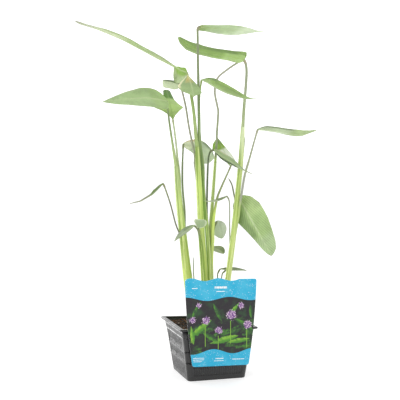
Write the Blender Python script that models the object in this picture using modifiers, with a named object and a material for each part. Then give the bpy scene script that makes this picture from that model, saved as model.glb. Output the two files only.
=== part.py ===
# Potted powdery thalia: a square slotted pond pot with soil, a picture label
# hooked over the rim, and a young plant of leaf shoots, stalks and blades.
#
# Everything is in millimetres here and becomes metres in mm().
# The origin is the middle of the pot's base, the front face looks along -Y.

from collections import namedtuple
from math import cos, log, pi, radians, sin, tan

import bmesh
import bpy
import numpy as np
from mathutils import Vector

# The pot
POT_HEIGHT = 73.0
RIM_HALF = 55.0
WALL_TOP_HALF = 51.0
BASE_HALF = 41.7
WALL = 1.5
FLOOR = 2.0
LIP = 2.5
LIP_CORNER = 4.5
RIM_CORNER = 5.5
BASE_CORNER = 6.0
CORNER_STEPS = 3

# The slots in each side of the pot
SLOT_WIDTH = 3.7
SLOT_PITCH = 7.2
SLOTS_A_ROW = 10
SLOT_ROWS = ((7.0, 24.0), (27.0, 39.3), (42.3, 59.0))

# The soil
SOIL_TOP = 68.5
SOIL_BUMP = 1.2
SOIL_RINGS = 5
SHOOT_FOOT = 54.0
STALK_FOOT = 60.0

# The label, in its own plane: across from its middle, and up from the rim
CARD_THICKNESS = 0.7
CARD_LEAN = 4.0
CARD_TURN = -1.6
CARD_SLANT = 2.7
CARD_TOP = 70.0
CARD_BOTTOM = -51.0
CARD_TOP_HALF = 51.0
CARD_BOTTOM_HALF = 40.5
CARD_CORNER = 3.0
CARD_BULGE = 1.9
CARD_Y = -57.0
HOOK_WIDTH = 30.0
HOOK_DEPTH = 24.0
HOOK_RISE = 14.0

GAP = 0.3
SHOOT_SIDES = 8
STALK_SIDES = 6
SHOOT_STEPS = 3
STALK_STEPS = 2
BLADE_GRID = (8, 4)
SMALL_BLADE_GRID = (7, 2)
SMALL_BLADE_WIDTH = 20.0
BLADE_THICKNESS = 0.8
BLADE_BASE_HALF = 1.3
BLADE_TIP_HALF = 0.4

# Each shoot: its radius at the foot and at the top, and its route up from its foot
# in the soil, whose first point is (x, y) alone
Shoot = namedtuple("Shoot", "name radii route")
SHOOTS = (
    Shoot("left", (6.2, 2.8), ((-18, 2), (-22, 4, 79), (-30, 5, 134), (-36, 5, 196), (-41, 6, 243),
                               (-46, 5, 295))),
    Shoot("middle", (5.2, 3.6), ((-7, -8), (-7, -8, 81), (-8, -8, 135), (-12, -8, 201), (-15, -8, 247),
                                 (-19, -8, 322))),
    Shoot("back", (4.4, 2.4), ((4, -1), (3, -1, 79), (2, -1, 133), (-2, 0, 200), (-7, 0, 247),
                               (-12, -1, 316))),
    Shoot("inner", (3.5, 1.6), ((9, 8), (9, 8, 79), (8, 8, 132), (8, 8, 201), (10, 8, 239), (11, 8, 282),
                                (14, 6, 332))),
    Shoot("right", (5.0, 2.6), ((20, -6), (21, -6, 79), (26, -8, 133), (33, -10, 190), (37, -11, 230),
                                (43, -13, 296), (46, -14, 350))),
)

# A leaf is a stalk and a blade. root says what the stalk grows from: the top of a
# shoot, its side at a height and a bearing, or the soil at (x, y). The route goes on
# to the blade's base, and the blade from there to tip. roll turns the blade about
# that line and fold lifts its two halves, both in degrees, bow arches its midrib,
# and broad is where it is widest, from 0 at the stalk to 1.
Leaf = namedtuple("Leaf", "name root radii route tip width roll fold bow broad")
LEAVES = (
    Leaf("long", ("middle", 290, 85), (1.9, 1.2), ((-19, -2, 334), (-22, -1, 366), (-26, 1, 395),
         (-32, 2, 427)), (-172, 103, 505), 42, 4, 8, 0, 0.3),
    Leaf("hanging", ("middle", "top"), (2.3, 1.3), ((-21, -9, 334), (-24, -9, 366), (-27, -7, 392),
         (-32, -6, 419)), (-33, -38, 389), 38, 0, -10, 4, 0.6),
    Leaf("pale", ("middle", 300, 140), (1.1, 0.9), ((-28, 2, 348), (-32, 6, 379), (-36, 11, 399),
         (-38, 12, 406)), (-54, 48, 413), 24, 45, -45, 2, 0.5),
    Leaf("left", ("left", "top"), (1.3, 1.0), ((-48, 5, 306), (-55, 4, 348), (-60, 3, 385)),
         (-152, -7, 382), 44, 40, 4, 6, 0.37),
    Leaf("bright", ("left", 276, 40), (1.3, 1.0), ((-43, 8, 303), (-46, 9, 334), (-49, 12, 361)),
         (-42, 75, 406), 43, 0, -8, 3, 0.35),
    Leaf("top", ("back", "top"), (2.0, 1.0), ((-15, -4, 330), (-17, -10, 355), (-18, -11, 393),
         (-19, -11, 442), (-19, -10, 472), (-19, -10, 484), (-16, -10, 488)),
         (84, 6, 487), 34, 14, -4, -1, 0.4),
    Leaf("upper", ("right", "top"), (2.1, 1.3), ((48, -14, 381), (50, -15, 408), (51, -15, 427),
         (50, -14, 438), (47, -14, 444)), (-37, 27, 477), 36, 31, 4, -9.5, 0.6),
    Leaf("slanting", ("back", 288, 30), (1.2, 0.9), ((-9, 2, 326), (-11, 3, 366), (-11, 0, 401),
         (-11, -3, 414)), (48, -56, 388), 30, -16, 4, 0, 0.4),
    Leaf("right", ("right", 226, -60), (1.3, 0.8), ((43, -19, 258), (46, -22, 281), (52, -25, 305),
         (59, -29, 334), (62, -31, 346)), (150, -34, 345), 34, 10, 6, -4, 0.4),
    Leaf("back", ("left", 176, 62), (1.2, 0.9), ((-31, 15, 229), (-33, 18, 261), (-33, 20, 289),
         (-31, 22, 325)), (19, 41, 303), 36, 40, -4, 7, 0.55),
    Leaf("drooping", ("back", 178, 60), (1.2, 0.8), ((-1, 5, 225), (-1, 4, 261), (0, 4, 292),
         (1, 3, 308), (4, 2, 316), (8, 0, 317)), (49, -46, 284), 19, 58, 0, 0, 0.3),
    Leaf("inner", ("inner", 200, 95), (0.9, 0.7), ((14, 15, 245), (21, 15, 264), (29, 14, 280),
         (38, 14, 295)), (25, 39, 336), 24, 48, 6, 2, 0.4),
    Leaf("broad", ("right", 214, 73), (1.3, 1.1), ((41, -4, 239), (44, -1, 247), (46, 4, 250)),
         (81, -37, 169), 38, -66, 4, 2, 0.42),
    Leaf("curled", ("left", 176, 215), (0.9, 0.7), ((-47, 1, 214), (-53, 2, 241), (-62, 3, 265),
         (-66, 3, 271)), (-115, -8, 244), 11, 0, 25, -5, 0.3),
    Leaf("front", ("middle", 180, 220), (0.8, 0.7), ((-21, -17, 206), (-27, -20, 213)),
         (-57, -25, 192), 13, 20, 10, 2, 0.4),
    Leaf("round", ("middle", 172, 255), (0.8, 0.7), ((-19, -19, 200), (-21, -20, 209)),
         (-25, -46, 223), 18, 0, 5, 2, 0.5),
    Leaf("oval", ("inner", 172, 45), (0.8, 0.7), ((14, 16, 206), (18, 17, 215)),
         (29, 27, 189), 22, 40, 5, 3, 0.5),
    Leaf("low", ("inner", 150, 75), (0.7, 0.6), ((9, 15, 170), (9, 15, 178)),
         (29, 23, 168), 17, 20, 5, 2, 0.5),
    Leaf("thin", ("right", 164, 100), (0.8, 0.6), ((31, -1, 207), (31, -1, 232), (30, -1, 246),
         (27, 0, 252)), (-7, -14, 246), 7, 0, 25, -3, 0.4),
    Leaf("foot", ("soil", (14, 1)), (0.8, 0.7), ((14, 2, 135), (15, 2, 143), (18, 2, 148)),
         (59, 3, 144), 10, 25, 10, 0, 0.45),
    Leaf("young", ("soil", (18, 10)), (0.8, 0.7), ((22, 8, 134), (25, 8, 142), (29, 8, 145)),
         (46, 24, 142), 9, 0, 10, 1, 0.45),
)

# Blades that aren't plain lances: the width of the half on either side of the midrib at
# places from 0 at the stalk to 1 at the tip
OUTLINES = {
    "hanging": ((0, 1.3, 1.3), (0.17, 1.6, 7), (0.36, 5, 14), (0.54, 9.5, 18.5), (0.68, 12, 16),
                (0.8, 13.5, 11.5), (0.9, 6, 5), (1, 0.4, 0.4)),
    "pale": ((0, 1.5, 1.5), (0.12, 9, 8), (0.3, 11, 11), (0.7, 11, 11), (0.9, 10.5, 10), (1, 8, 7)),
    "bright": ((0, 1.3, 1.3), (0.12, 4.6, 4.8), (0.27, 13, 12.5), (0.39, 23, 20), (0.47, 17, 14),
               (0.6, 10, 8.3), (0.78, 6.6, 6.3), (1, 5, 5)),
    "upper": ((0, 5, 8), (0.06, 11, 14), (0.5, 13, 14), (0.7, 13.5, 13), (0.82, 12, 10), (0.93, 7.5, 6),
              (1, 0.4, 0.4)),
    "inner": ((0, 1.3, 1.3), (0.1, 8, 9), (0.3, 12, 8), (0.54, 13, 5.2), (0.68, 14.8, 3.4),
              (0.85, 10.2, 1.8), (1, 0.4, 0.4)),
    "broad": ((0, 5, 5), (0.09, 18, 12.5), (0.24, 23.4, 15.6), (0.44, 23.6, 14.2), (0.65, 20.2, 10),
              (0.84, 15.6, 6), (0.94, 11, 3.2), (1, 0.4, 0.4)),
}

# Stalks with no blade of their own: a kinked one, and the points of unopened leaves
Spike = namedtuple("Spike", "name root radii route")
SPIKES = (
    Spike("kinked_stalk", ("inner", "top"), (1.2, 0.7), ((14, 6, 339), (16, 6, 370), (15, 6, 378),
          (11, 6, 399), (14, 4, 418), (28, 0, 431), (45, -8, 443))),
    Spike("spear", ("soil", (-17, -8)), (1.1, 0.5), ((-18, -7, 100), (-23, -4, 139), (-23, -4, 168))),
    Spike("tendril", ("right", 232, 100), (1.0, 0.4), ((35, -6, 258), (32, -7, 269), (26, -10, 278))),
    Spike("sheath_tip", ("right", 290, 35), (1.0, 0.4), ((49, -11, 321), (50, -12, 336))),
)

# Base colour, metallic and roughness of each piece
FINISHES = {
    "shoot": ((0.36, 0.55, 0.10), 0.0, 0.45),
    "stalk": ((0.33, 0.42, 0.17), 0.0, 0.5),
    "blade": ((0.25, 0.47, 0.13), 0.0, 0.5),
    "pot": ((0.03, 0.03, 0.03), 0.0, 0.45),
    "soil": ((0.05, 0.03, 0.02), 0.0, 0.95),
    "label": ((0.05, 0.48, 0.75), 0.0, 0.35),
}


def mm(*values):
    """A point in millimetres as a vector in metres."""
    return Vector(values) * 0.001


def clear_scene():
    for obj in list(bpy.data.objects):
        bpy.data.objects.remove(obj, do_unlink=True)


def new_collection(name):
    collection = bpy.data.collections.new(name)
    bpy.context.scene.collection.children.link(collection)
    return collection


def material(name, finish):
    color, metallic, roughness = FINISHES[finish]
    made = bpy.data.materials.new(name)
    made.use_nodes = True
    shader = made.node_tree.nodes["Principled BSDF"]
    shader.inputs["Base Color"].default_value = (*color, 1.0)
    shader.inputs["Metallic"].default_value = metallic
    shader.inputs["Roughness"].default_value = roughness
    return made


def add_object(name, data, collection, finish=None):
    obj = bpy.data.objects.new(name, data)
    collection.objects.link(obj)
    if finish:
        data.materials.append(material(name, finish))
    else:
        obj.hide_render = True
        obj.display_type = "WIRE"
    return obj


def mesh_from(bm, name):
    bmesh.ops.recalc_face_normals(bm, faces=bm.faces)
    mesh = bpy.data.meshes.new(name)
    bm.to_mesh(mesh)
    bm.free()
    return mesh


def boolean(obj, cutter, operation="DIFFERENCE"):
    cut = obj.modifiers.new(cutter.name, "BOOLEAN")
    cut.object = cutter
    cut.operation = operation


def rounded_square(half, corner, z):
    """The points of a square with round corners, anticlockwise from above."""
    points = []
    for quarter in range(4):
        middle = radians(45 + 90 * quarter)
        centre = Vector((cos(middle), sin(middle))) * (half - corner) * 2**0.5
        for step in range(CORNER_STEPS + 1):
            turn = radians(90 * quarter + 90 * step / CORNER_STEPS)
            points.append(mm(centre.x + corner * cos(turn), centre.y + corner * sin(turn), z))
    return points


def loft(bm, rings):
    """Closed walls through rings of equal length, with a face over each end."""
    made = [[bm.verts.new(point) for point in ring] for ring in rings]
    count = len(made[0])
    for below, above in zip(made, made[1:]):
        for i in range(count):
            j = (i + 1) % count
            bm.faces.new((below[i], below[j], above[j], above[i]))
    bm.faces.new(list(reversed(made[0])))
    return made[-1]


def wall_half(z):
    """How far the pot's wall stands from its middle, outside, at height z."""
    return BASE_HALF + (WALL_TOP_HALF - BASE_HALF) * z / (POT_HEIGHT - LIP)


def wall_corner(z):
    return BASE_CORNER + (RIM_CORNER - BASE_CORNER) * z / POT_HEIGHT


def box(bm, low, high):
    corners = bmesh.ops.create_cube(bm, size=1.0)["verts"]
    size = mm(*high) - mm(*low)
    middle = (mm(*high) + mm(*low)) / 2
    for vert in corners:
        vert.co = Vector(a * b for a, b in zip(vert.co, size)) + middle


def make_pot(parts, cutters):
    """One wall section carried round a rounded square: up outside, over the lip
    and down inside to the floor, then cut by rows of slots through all four sides."""
    bm = bmesh.new()
    under_lip = POT_HEIGHT - LIP
    rings = [
        rounded_square(BASE_HALF - 1.0, BASE_CORNER - 1.0, 0.0),
        rounded_square(BASE_HALF, BASE_CORNER, 1.0),
        rounded_square(WALL_TOP_HALF, RIM_CORNER, under_lip),
        rounded_square(RIM_HALF - 0.4, LIP_CORNER - 0.4, under_lip),
        rounded_square(RIM_HALF, LIP_CORNER, under_lip + 0.6),
        rounded_square(RIM_HALF, LIP_CORNER, POT_HEIGHT - 0.6),
        rounded_square(RIM_HALF - 0.6, LIP_CORNER - 0.6, POT_HEIGHT),
        rounded_square(wall_half(POT_HEIGHT) - WALL, wall_corner(POT_HEIGHT) - WALL, POT_HEIGHT),
        rounded_square(wall_half(FLOOR) - WALL, wall_corner(FLOOR) - WALL, FLOOR),
    ]
    bm.faces.new(loft(bm, rings))
    pot = add_object("pot", mesh_from(bm, "pot"), parts, "pot")

    reach = RIM_HALF + 10
    first = -SLOT_PITCH * (SLOTS_A_ROW - 1) / 2
    for name, along_x in (("slots_through_front", False), ("slots_through_sides", True)):
        bm = bmesh.new()
        for low, high in SLOT_ROWS:
            for i in range(SLOTS_A_ROW):
                left = first + i * SLOT_PITCH - SLOT_WIDTH / 2
                right = left + SLOT_WIDTH
                if along_x:
                    box(bm, (-reach, left, low), (reach, right, high))
                else:
                    box(bm, (left, -reach, low), (right, reach, high))
        boolean(pot, add_object(name, mesh_from(bm, name), cutters))


def smooth_route(points, steps):
    """A curve through every point, with steps pieces to each stretch (Catmull-Rom)."""
    ends = [2 * points[0] - points[1], *points, 2 * points[-1] - points[-2]]
    route = []
    for a, b, c, d in zip(ends, ends[1:], ends[2:], ends[3:]):
        for i in range(steps):
            t = i / steps
            route.append((2 * b + (c - a) * t + (2 * a - 5 * b + 4 * c - d) * t**2
                          + (3 * b - a - 3 * c + d) * t**3) / 2)
    return [*route, points[-1]]


def tube(name, route, radii, sides, steps):
    """A round stem along the route, its radius going evenly from foot to top."""
    curve = bpy.data.curves.new(name, "CURVE")
    curve.dimensions = "3D"
    curve.bevel_depth = 0.001
    curve.bevel_resolution = sides // 2 - 2
    curve.use_fill_caps = True
    points = smooth_route([mm(*point) for point in route], steps)
    spline = curve.splines.new("POLY")
    spline.points.add(len(points) - 1)
    foot, top = radii
    for i, (point, at) in enumerate(zip(spline.points, points)):
        point.co = (*at, 1.0)
        point.radius = foot + (top - foot) * i / (len(points) - 1)
    return curve


def shoot_route(shoot):
    """A shoot starts straight up out of the soil at its own foot."""
    foot, *rest = shoot.route
    return ((*foot, SHOOT_FOOT), *rest)


def beside(shoot, height, bearing, room):
    """The point at this height that is room away from the shoot's skin, on a bearing."""
    route = smooth_route([Vector(point) for point in shoot_route(shoot)], SHOOT_STEPS)
    above = next(i for i, point in enumerate(route) if point.z > height)
    low, high = route[above - 1], route[above]
    part = (height - low.z) / (high.z - low.z)
    foot, top = shoot.radii
    radius = foot + (top - foot) * (above - 1 + part) / (len(route) - 1)
    turn = radians(bearing)
    return low.lerp(high, part) + Vector((cos(turn), sin(turn), 0)) * (radius + room)


def stem_route(stem):
    """The whole route of a stalk, which begins on its shoot or in the soil."""
    source, *where = stem.root
    if source == "soil":
        foot, = where
        start = [(*foot, STALK_FOOT), (*foot, SOIL_TOP + 10)]
    else:
        shoot = next(shoot for shoot in SHOOTS if shoot.name == source)
        if where == ["top"]:
            below, top = Vector(shoot.route[-2]), Vector(shoot.route[-1])
            start = [top + (top - below).normalized() * (GAP + 0.4)]
        else:
            height, bearing = where
            room = stem.radii[0] + GAP + 0.1
            start = [beside(shoot, height + up, bearing, room) for up in (0, 12)]
    return [Vector(point) for point in start] + [Vector(point) for point in stem.route]


def well(name, foot, above, radius, sides, cutters):
    """A cutter round a stem's foot, with room for the stem's corners at any turn."""
    route = (Vector(foot) - Vector((0, 0, GAP)), Vector(above))
    room = (radius + GAP) / cos(pi / sides)
    guide = bpy.data.objects.new(name, tube(name, route, (room, room), sides, 1))
    cutters.objects.link(guide)
    mesh = bpy.data.meshes.new_from_object(guide.evaluated_get(bpy.context.evaluated_depsgraph_get()))
    bpy.data.objects.remove(guide)
    bm = bmesh.new()
    bm.from_mesh(mesh)
    bmesh.ops.remove_doubles(bm, verts=bm.verts, dist=1e-6)
    return add_object(name, mesh_from(bm, name), cutters)


def make_soil(parts, cutters):
    """The soil fills the pot to its bumpy top and leaves room for each stem and the hook."""
    bumps = np.random.default_rng(7)
    inside = WALL + GAP
    bm = bmesh.new()
    low = FLOOR + GAP
    rings = [
        rounded_square(wall_half(low) - inside, wall_corner(low) - inside, low),
        rounded_square(wall_half(SOIL_TOP - 3) - inside, wall_corner(SOIL_TOP) - inside, SOIL_TOP - 3),
    ]
    outside = wall_half(SOIL_TOP) - inside - 0.5
    for i in range(SOIL_RINGS):
        half = outside * (1 - i / SOIL_RINGS)
        ring = rounded_square(half, wall_corner(SOIL_TOP) * half / outside, SOIL_TOP)
        for point in ring:
            point.z += 0.001 * SOIL_BUMP * bumps.uniform(-1, 1) * (i > 0)
        rings.append(ring)
    top = loft(bm, rings)
    bmesh.ops.pointmerge(bm, verts=top, merge_co=mm(0, 0, SOIL_TOP))
    soil = add_object("soil", mesh_from(bm, "soil"), parts, "soil")

    for shoot in SHOOTS:
        foot, above = shoot_route(shoot)[:2]
        boolean(soil, well(f"{shoot.name}_well", foot, above, shoot.radii[0], SHOOT_SIDES, cutters))
    for stem in LEAVES + SPIKES:
        if stem.root[0] == "soil":
            foot, above = stem_route(stem)[:2]
            boolean(soil, well(f"{stem.name}_well", foot, above, stem.radii[0], STALK_SIDES, cutters))

    bm = bmesh.new()
    wall = wall_half(SOIL_TOP)
    side = HOOK_WIDTH / 2 + 1
    box(bm, (-side, -wall - 5, POT_HEIGHT - HOOK_DEPTH - 2), (side, -wall + WALL + 4.5, POT_HEIGHT + 5))
    boolean(soil, add_object("hook_slit", mesh_from(bm, "hook_slit"), cutters))


def card_edge():
    """The card's outline: bulging sides that close in downwards, round corners, and a
    wavy top edge with a level stretch at the right."""
    def side(up):
        share = (up - CARD_BOTTOM) / (CARD_TOP - CARD_BOTTOM)
        straight = CARD_BOTTOM_HALF + (CARD_TOP_HALF - CARD_BOTTOM_HALF) * share
        return straight + CARD_BULGE * 4 * share * (1 - share)

    def corner(across, up, start):
        turns = (radians(start + 30 * step) for step in range(4))
        return [(across + CARD_CORNER * cos(turn), up + CARD_CORNER * sin(turn)) for turn in turns]

    low = CARD_BOTTOM + CARD_CORNER
    high = CARD_TOP - CARD_CORNER
    outline = corner(-side(low) + CARD_CORNER, low, 180) + corner(side(low) - CARD_CORNER, low, 270)
    rises = [low + (high - low) * step / 4 for step in (1, 2, 3)]
    outline += [(side(up), up) for up in rises]
    outline += corner(side(high) - CARD_CORNER, high, 0)
    level = 28.0
    outline.append((level, CARD_TOP))
    for step in range(1, 13):
        across = level - 5 - (level - 5 + side(CARD_TOP) - 3) * step / 12
        outline.append((across, CARD_TOP - 0.6 + 1.9 * cos((across + 42) * 2 * pi / 38)))
    outline.append((-side(CARD_TOP), CARD_TOP - 2.0))
    outline += [(-side(up), up) for up in reversed(rises)]
    slant = tan(radians(CARD_SLANT))
    return [(across - up * slant, up) for across, up in outline]


def make_label(parts, cutters):
    """A flat card in front of the pot, and a hook behind it that goes over the rim."""
    curve = bpy.data.curves.new("card", "CURVE")
    curve.dimensions = "2D"
    curve.fill_mode = "BOTH"
    curve.extrude = CARD_THICKNESS / 2 * 0.001
    edge = card_edge()
    spline = curve.splines.new("POLY")
    spline.points.add(len(edge) - 1)
    spline.use_cyclic_u = True
    for point, (across, up) in zip(spline.points, edge):
        point.co = (*mm(across, up, 0), 1.0)
    guide = bpy.data.objects.new("card", curve)
    cutters.objects.link(guide)
    mesh = bpy.data.meshes.new_from_object(guide.evaluated_get(bpy.context.evaluated_depsgraph_get()))
    bpy.data.objects.remove(guide)
    bm = bmesh.new()
    bm.from_mesh(mesh)
    bmesh.ops.remove_doubles(bm, verts=bm.verts, dist=1e-6)
    label = add_object("label", mesh_from(bm, "label"), parts, "label")
    label.rotation_euler = (radians(90 + CARD_LEAN), 0, 0)
    label.rotation_euler.rotate_axis("Z", radians(CARD_TURN))
    label.location = mm(0, CARD_Y, POT_HEIGHT)

    over = POT_HEIGHT + GAP + 0.5
    room = WALL + GAP + 0.5
    end = POT_HEIGHT - HOOK_DEPTH
    path = ((CARD_Y - 0.8, over + HOOK_RISE), (CARD_Y + 1.0, over + 2), (CARD_Y + 3, over),
            (-wall_half(POT_HEIGHT) + room - 1, over), (-wall_half(POT_HEIGHT) + room + 0.4, over - 1.4),
            (-wall_half(end) + room + 0.6, end))
    bm = bmesh.new()
    rows = [[bm.verts.new(mm(x, y, z)) for x in (-HOOK_WIDTH / 2, HOOK_WIDTH / 2)] for y, z in path]
    for a, b in zip(rows, rows[1:]):
        bm.faces.new((a[0], a[1], b[1], b[0]))
    hook = add_object("hook", mesh_from(bm, "hook"), cutters)
    shell = hook.modifiers.new("thickness", "SOLIDIFY")
    shell.thickness = CARD_THICKNESS * 0.001
    shell.offset = 0
    boolean(label, hook, "UNION")


def half_widths(leaf, along):
    """How wide the blade is on each side of its midrib: from its own outline, or else
    rounded towards the stalk and drawn out to a point."""
    if leaf.name in OUTLINES:
        for low, high in zip(OUTLINES[leaf.name], OUTLINES[leaf.name][1:]):
            if along <= high[0]:
                share = (along - low[0]) / (high[0] - low[0])
                return [a + (b - a) * share for a, b in zip(low[1:], high[1:])]
    swell = sin(pi * min(along, 1.0) ** (log(0.5) / log(leaf.broad))) ** 0.8
    ends = BLADE_BASE_HALF + (BLADE_TIP_HALF - BLADE_BASE_HALF) * along
    half = max(leaf.width / 2 * swell, ends)
    return half, half


def make_blade(leaf, parts):
    """A grid along and across the blade: the midrib arches from base to tip, and the
    two halves stand up or hang from it, more so towards their edges."""
    stalk_end = Vector(leaf.route[-1])
    line = Vector(leaf.tip) - stalk_end
    ahead = line.normalized()
    start = stalk_end + ahead * (leaf.radii[1] + GAP + BLADE_THICKNESS / 2)
    across = ahead.cross(Vector((0, 0, 1))).normalized()
    upward = across.cross(ahead)
    roll = radians(leaf.roll)
    across, upward = (across * cos(roll) + upward * sin(roll), upward * cos(roll) - across * sin(roll))
    lift = radians(leaf.fold)
    rows, columns = BLADE_GRID if leaf.width > SMALL_BLADE_WIDTH else SMALL_BLADE_GRID
    bm = bmesh.new()
    grid = []
    for i in range(rows + 1):
        along = i / rows
        middle = start.lerp(Vector(leaf.tip), along) + upward * leaf.bow * 4 * along * (1 - along)
        halves = half_widths(leaf, along)
        row = []
        for j in range(columns + 1):
            side = 2 * j / columns - 1
            out = across * side * cos(lift) + upward * abs(side) ** 1.3 * sin(lift)
            row.append(bm.verts.new((middle + out * halves[side > 0]) * 0.001))
        grid.append(row)
    for a, b in zip(grid, grid[1:]):
        for j in range(columns):
            bm.faces.new((a[j], a[j + 1], b[j + 1], b[j]))
    blade = add_object(f"{leaf.name}_blade", mesh_from(bm, leaf.name), parts, "blade")
    shell = blade.modifiers.new("thickness", "SOLIDIFY")
    shell.thickness = BLADE_THICKNESS * 0.001
    shell.offset = 0


def make_plant(parts):
    for shoot in SHOOTS:
        name = f"{shoot.name}_shoot"
        body = tube(name, shoot_route(shoot), shoot.radii, SHOOT_SIDES, SHOOT_STEPS)
        add_object(name, body, parts, "shoot")
    for leaf in LEAVES:
        name = f"{leaf.name}_stalk"
        stalk = tube(name, stem_route(leaf), leaf.radii, STALK_SIDES, STALK_STEPS)
        add_object(name, stalk, parts, "stalk")
        make_blade(leaf, parts)
    for spike in SPIKES:
        stalk = tube(spike.name, stem_route(spike), spike.radii, STALK_SIDES, STALK_STEPS)
        add_object(spike.name, stalk, parts, "stalk")


def main():
    clear_scene()
    parts = new_collection("potted_powdery_thalia")
    cutters = new_collection("cutters")
    make_pot(parts, cutters)
    make_soil(parts, cutters)
    make_label(parts, cutters)
    make_plant(parts)


main()
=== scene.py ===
from math import log, pi, radians

import bpy
import numpy as np
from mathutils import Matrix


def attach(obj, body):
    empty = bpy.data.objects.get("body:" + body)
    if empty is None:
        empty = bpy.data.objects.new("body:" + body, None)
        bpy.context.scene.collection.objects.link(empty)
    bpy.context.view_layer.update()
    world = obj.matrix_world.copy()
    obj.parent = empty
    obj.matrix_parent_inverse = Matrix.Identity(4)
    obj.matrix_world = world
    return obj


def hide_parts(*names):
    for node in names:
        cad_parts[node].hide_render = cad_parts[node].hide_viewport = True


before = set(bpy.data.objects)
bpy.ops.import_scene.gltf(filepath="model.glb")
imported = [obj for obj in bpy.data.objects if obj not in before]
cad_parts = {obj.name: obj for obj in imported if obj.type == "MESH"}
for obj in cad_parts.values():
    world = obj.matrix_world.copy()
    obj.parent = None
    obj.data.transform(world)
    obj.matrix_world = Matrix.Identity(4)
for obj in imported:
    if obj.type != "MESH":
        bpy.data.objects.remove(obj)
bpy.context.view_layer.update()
print("frame loaded:", len(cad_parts), "nodes")

# A powdery thalia in its slotted pond pot. Shapes are worked out in millimetres and
# become metres in addPiece. Colors are written as 0 to 255 and made linear by tint.


def tint(red, green, blue):
    # each share of 255 as linear light: divided where it is small, else to the power 2.4
    share = np.array([red, green, blue]) / 255
    return (*np.where(share < 0.04, share / 12.92, ((share + 0.055) / 1.055) ** 2.4).tolist(), 1.0)


def unit(vectors):
    # the same directions, each of length 1
    return vectors / np.maximum(np.linalg.norm(vectors, axis=-1, keepdims=True), 1e-9)


def softly(t):
    # eases a share from 0 to 1: 3 t squared less 2 t cubed
    return t * t * (3 - 2 * t)


# Curves and surfaces

def smoothRoute(points, steps):
    # a curve through every point: a cubic of t from each point to the next, whose slope at
    # a point is half the way from the point before it to the point after it
    p = np.asarray(points, float)
    ends = np.vstack([2 * p[0] - p[1], p, 2 * p[-1] - p[-2]])
    a, b, c, d = ends[:-3, None], ends[1:-2, None], ends[2:-1, None], ends[3:, None]
    t = (np.arange(steps) / steps)[None, :, None]
    curve = (2 * b + (c - a) * t + (2 * a - 5 * b + 4 * c - d) * t**2
             + (3 * b - a - 3 * c + d) * t**3) / 2
    return np.vstack([curve.reshape(-1, 3), p[-1]])


def runAlong(route):
    # the distance travelled at each point of a route
    return np.concatenate([[0], np.cumsum(np.linalg.norm(np.diff(route, axis=0), axis=1))])


def evenly(route, spacing):
    # the same route as points at equal distances, at least 7 of them
    run = runAlong(route)
    at = np.linspace(0, run[-1], max(int(run[-1] / spacing), 6) + 1)
    return np.stack([np.interp(at, run, route[:, k]) for k in range(3)], axis=1)


def gridFaces(rows, columns, start=0, closed=False, flip=False):
    # the corners of each cell of a grid whose points are numbered row by row
    i, j = np.mgrid[0:rows - 1, 0:columns if closed else columns - 1]
    k = (j + 1) % columns
    cells = np.stack([i * columns + j, i * columns + k, (i + 1) * columns + k, (i + 1) * columns + j], -1)
    cells = cells.reshape(-1, 4) + start
    return (cells[:, ::-1] if flip else cells).tolist()


def closedTube(rings):
    # rings of points, anticlockwise about the way they run, closed by a point at each end
    rows, around = rings.shape[:2]
    points = np.vstack([rings.reshape(-1, 3), rings[0].mean(0), rings[-1].mean(0)])
    j = np.arange(around)
    k = (j + 1) % around
    last = (rows - 1) * around
    faces = gridFaces(rows, around, closed=True)
    faces += np.stack([np.full(around, rows * around), k, j], -1).tolist()
    faces += np.stack([np.full(around, rows * around + 1), last + j, last + k], -1).tolist()
    return points, faces


def shell(upper, lower):
    # two sheets of the same grid, one above the other, joined round their rim
    rows, columns = upper.shape[:2]
    count = rows * columns
    faces = gridFaces(rows, columns) + gridFaces(rows, columns, start=count, flip=True)
    rim = np.concatenate([np.arange(columns), np.arange(1, rows) * columns + columns - 1,
                          (rows - 1) * columns + np.arange(columns - 2, -1, -1),
                          np.arange(rows - 2, 0, -1) * columns])
    following = np.roll(rim, -1)
    faces += np.stack([rim + count, following + count, following, rim], -1).tolist()
    return np.vstack([upper.reshape(-1, 3), lower.reshape(-1, 3)]), faces


def sheetNormals(sheet):
    # square to the sheet: its way along the columns crossed with its way along the rows
    return unit(np.cross(np.gradient(sheet, axis=1), np.gradient(sheet, axis=0)))


def eased(u, table):
    # a curve through a table of places and values, rounded off a little at each place: the
    # mean of the straight lines' values at places close before and after, none past an end
    reach, samples, endShare = 0.015, 7, 0.05
    places, values = np.asarray(table[0], float), np.asarray(table[1], float)
    near = np.linspace(-reach, reach, samples)[:, None] * np.clip(np.minimum(u, 1 - u) / endShare, 0, 1)
    return np.interp(np.clip(u[None] + near, 0, 1), places, values).mean(0)


def latticeNoise(x, y, cell, seed):
    # numbers from -1 to 1 drawn at the corners of a square lattice, eased between them
    side = 256
    drawn = np.random.default_rng(seed).uniform(-1, 1, (side, side))
    u, v = np.asarray(x) / cell + side / 2, np.asarray(y) / cell + side / 2
    i, j = np.floor(u).astype(int), np.floor(v).astype(int)
    s, t = softly(u - i), softly(v - j)
    i, j, nextI, nextJ = i % side, j % side, (i + 1) % side, (j + 1) % side
    near = drawn[i, j] * (1 - s) + drawn[nextI, j] * s
    far = drawn[i, nextJ] * (1 - s) + drawn[nextI, nextJ] * s
    return near * (1 - t) + far * t


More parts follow.
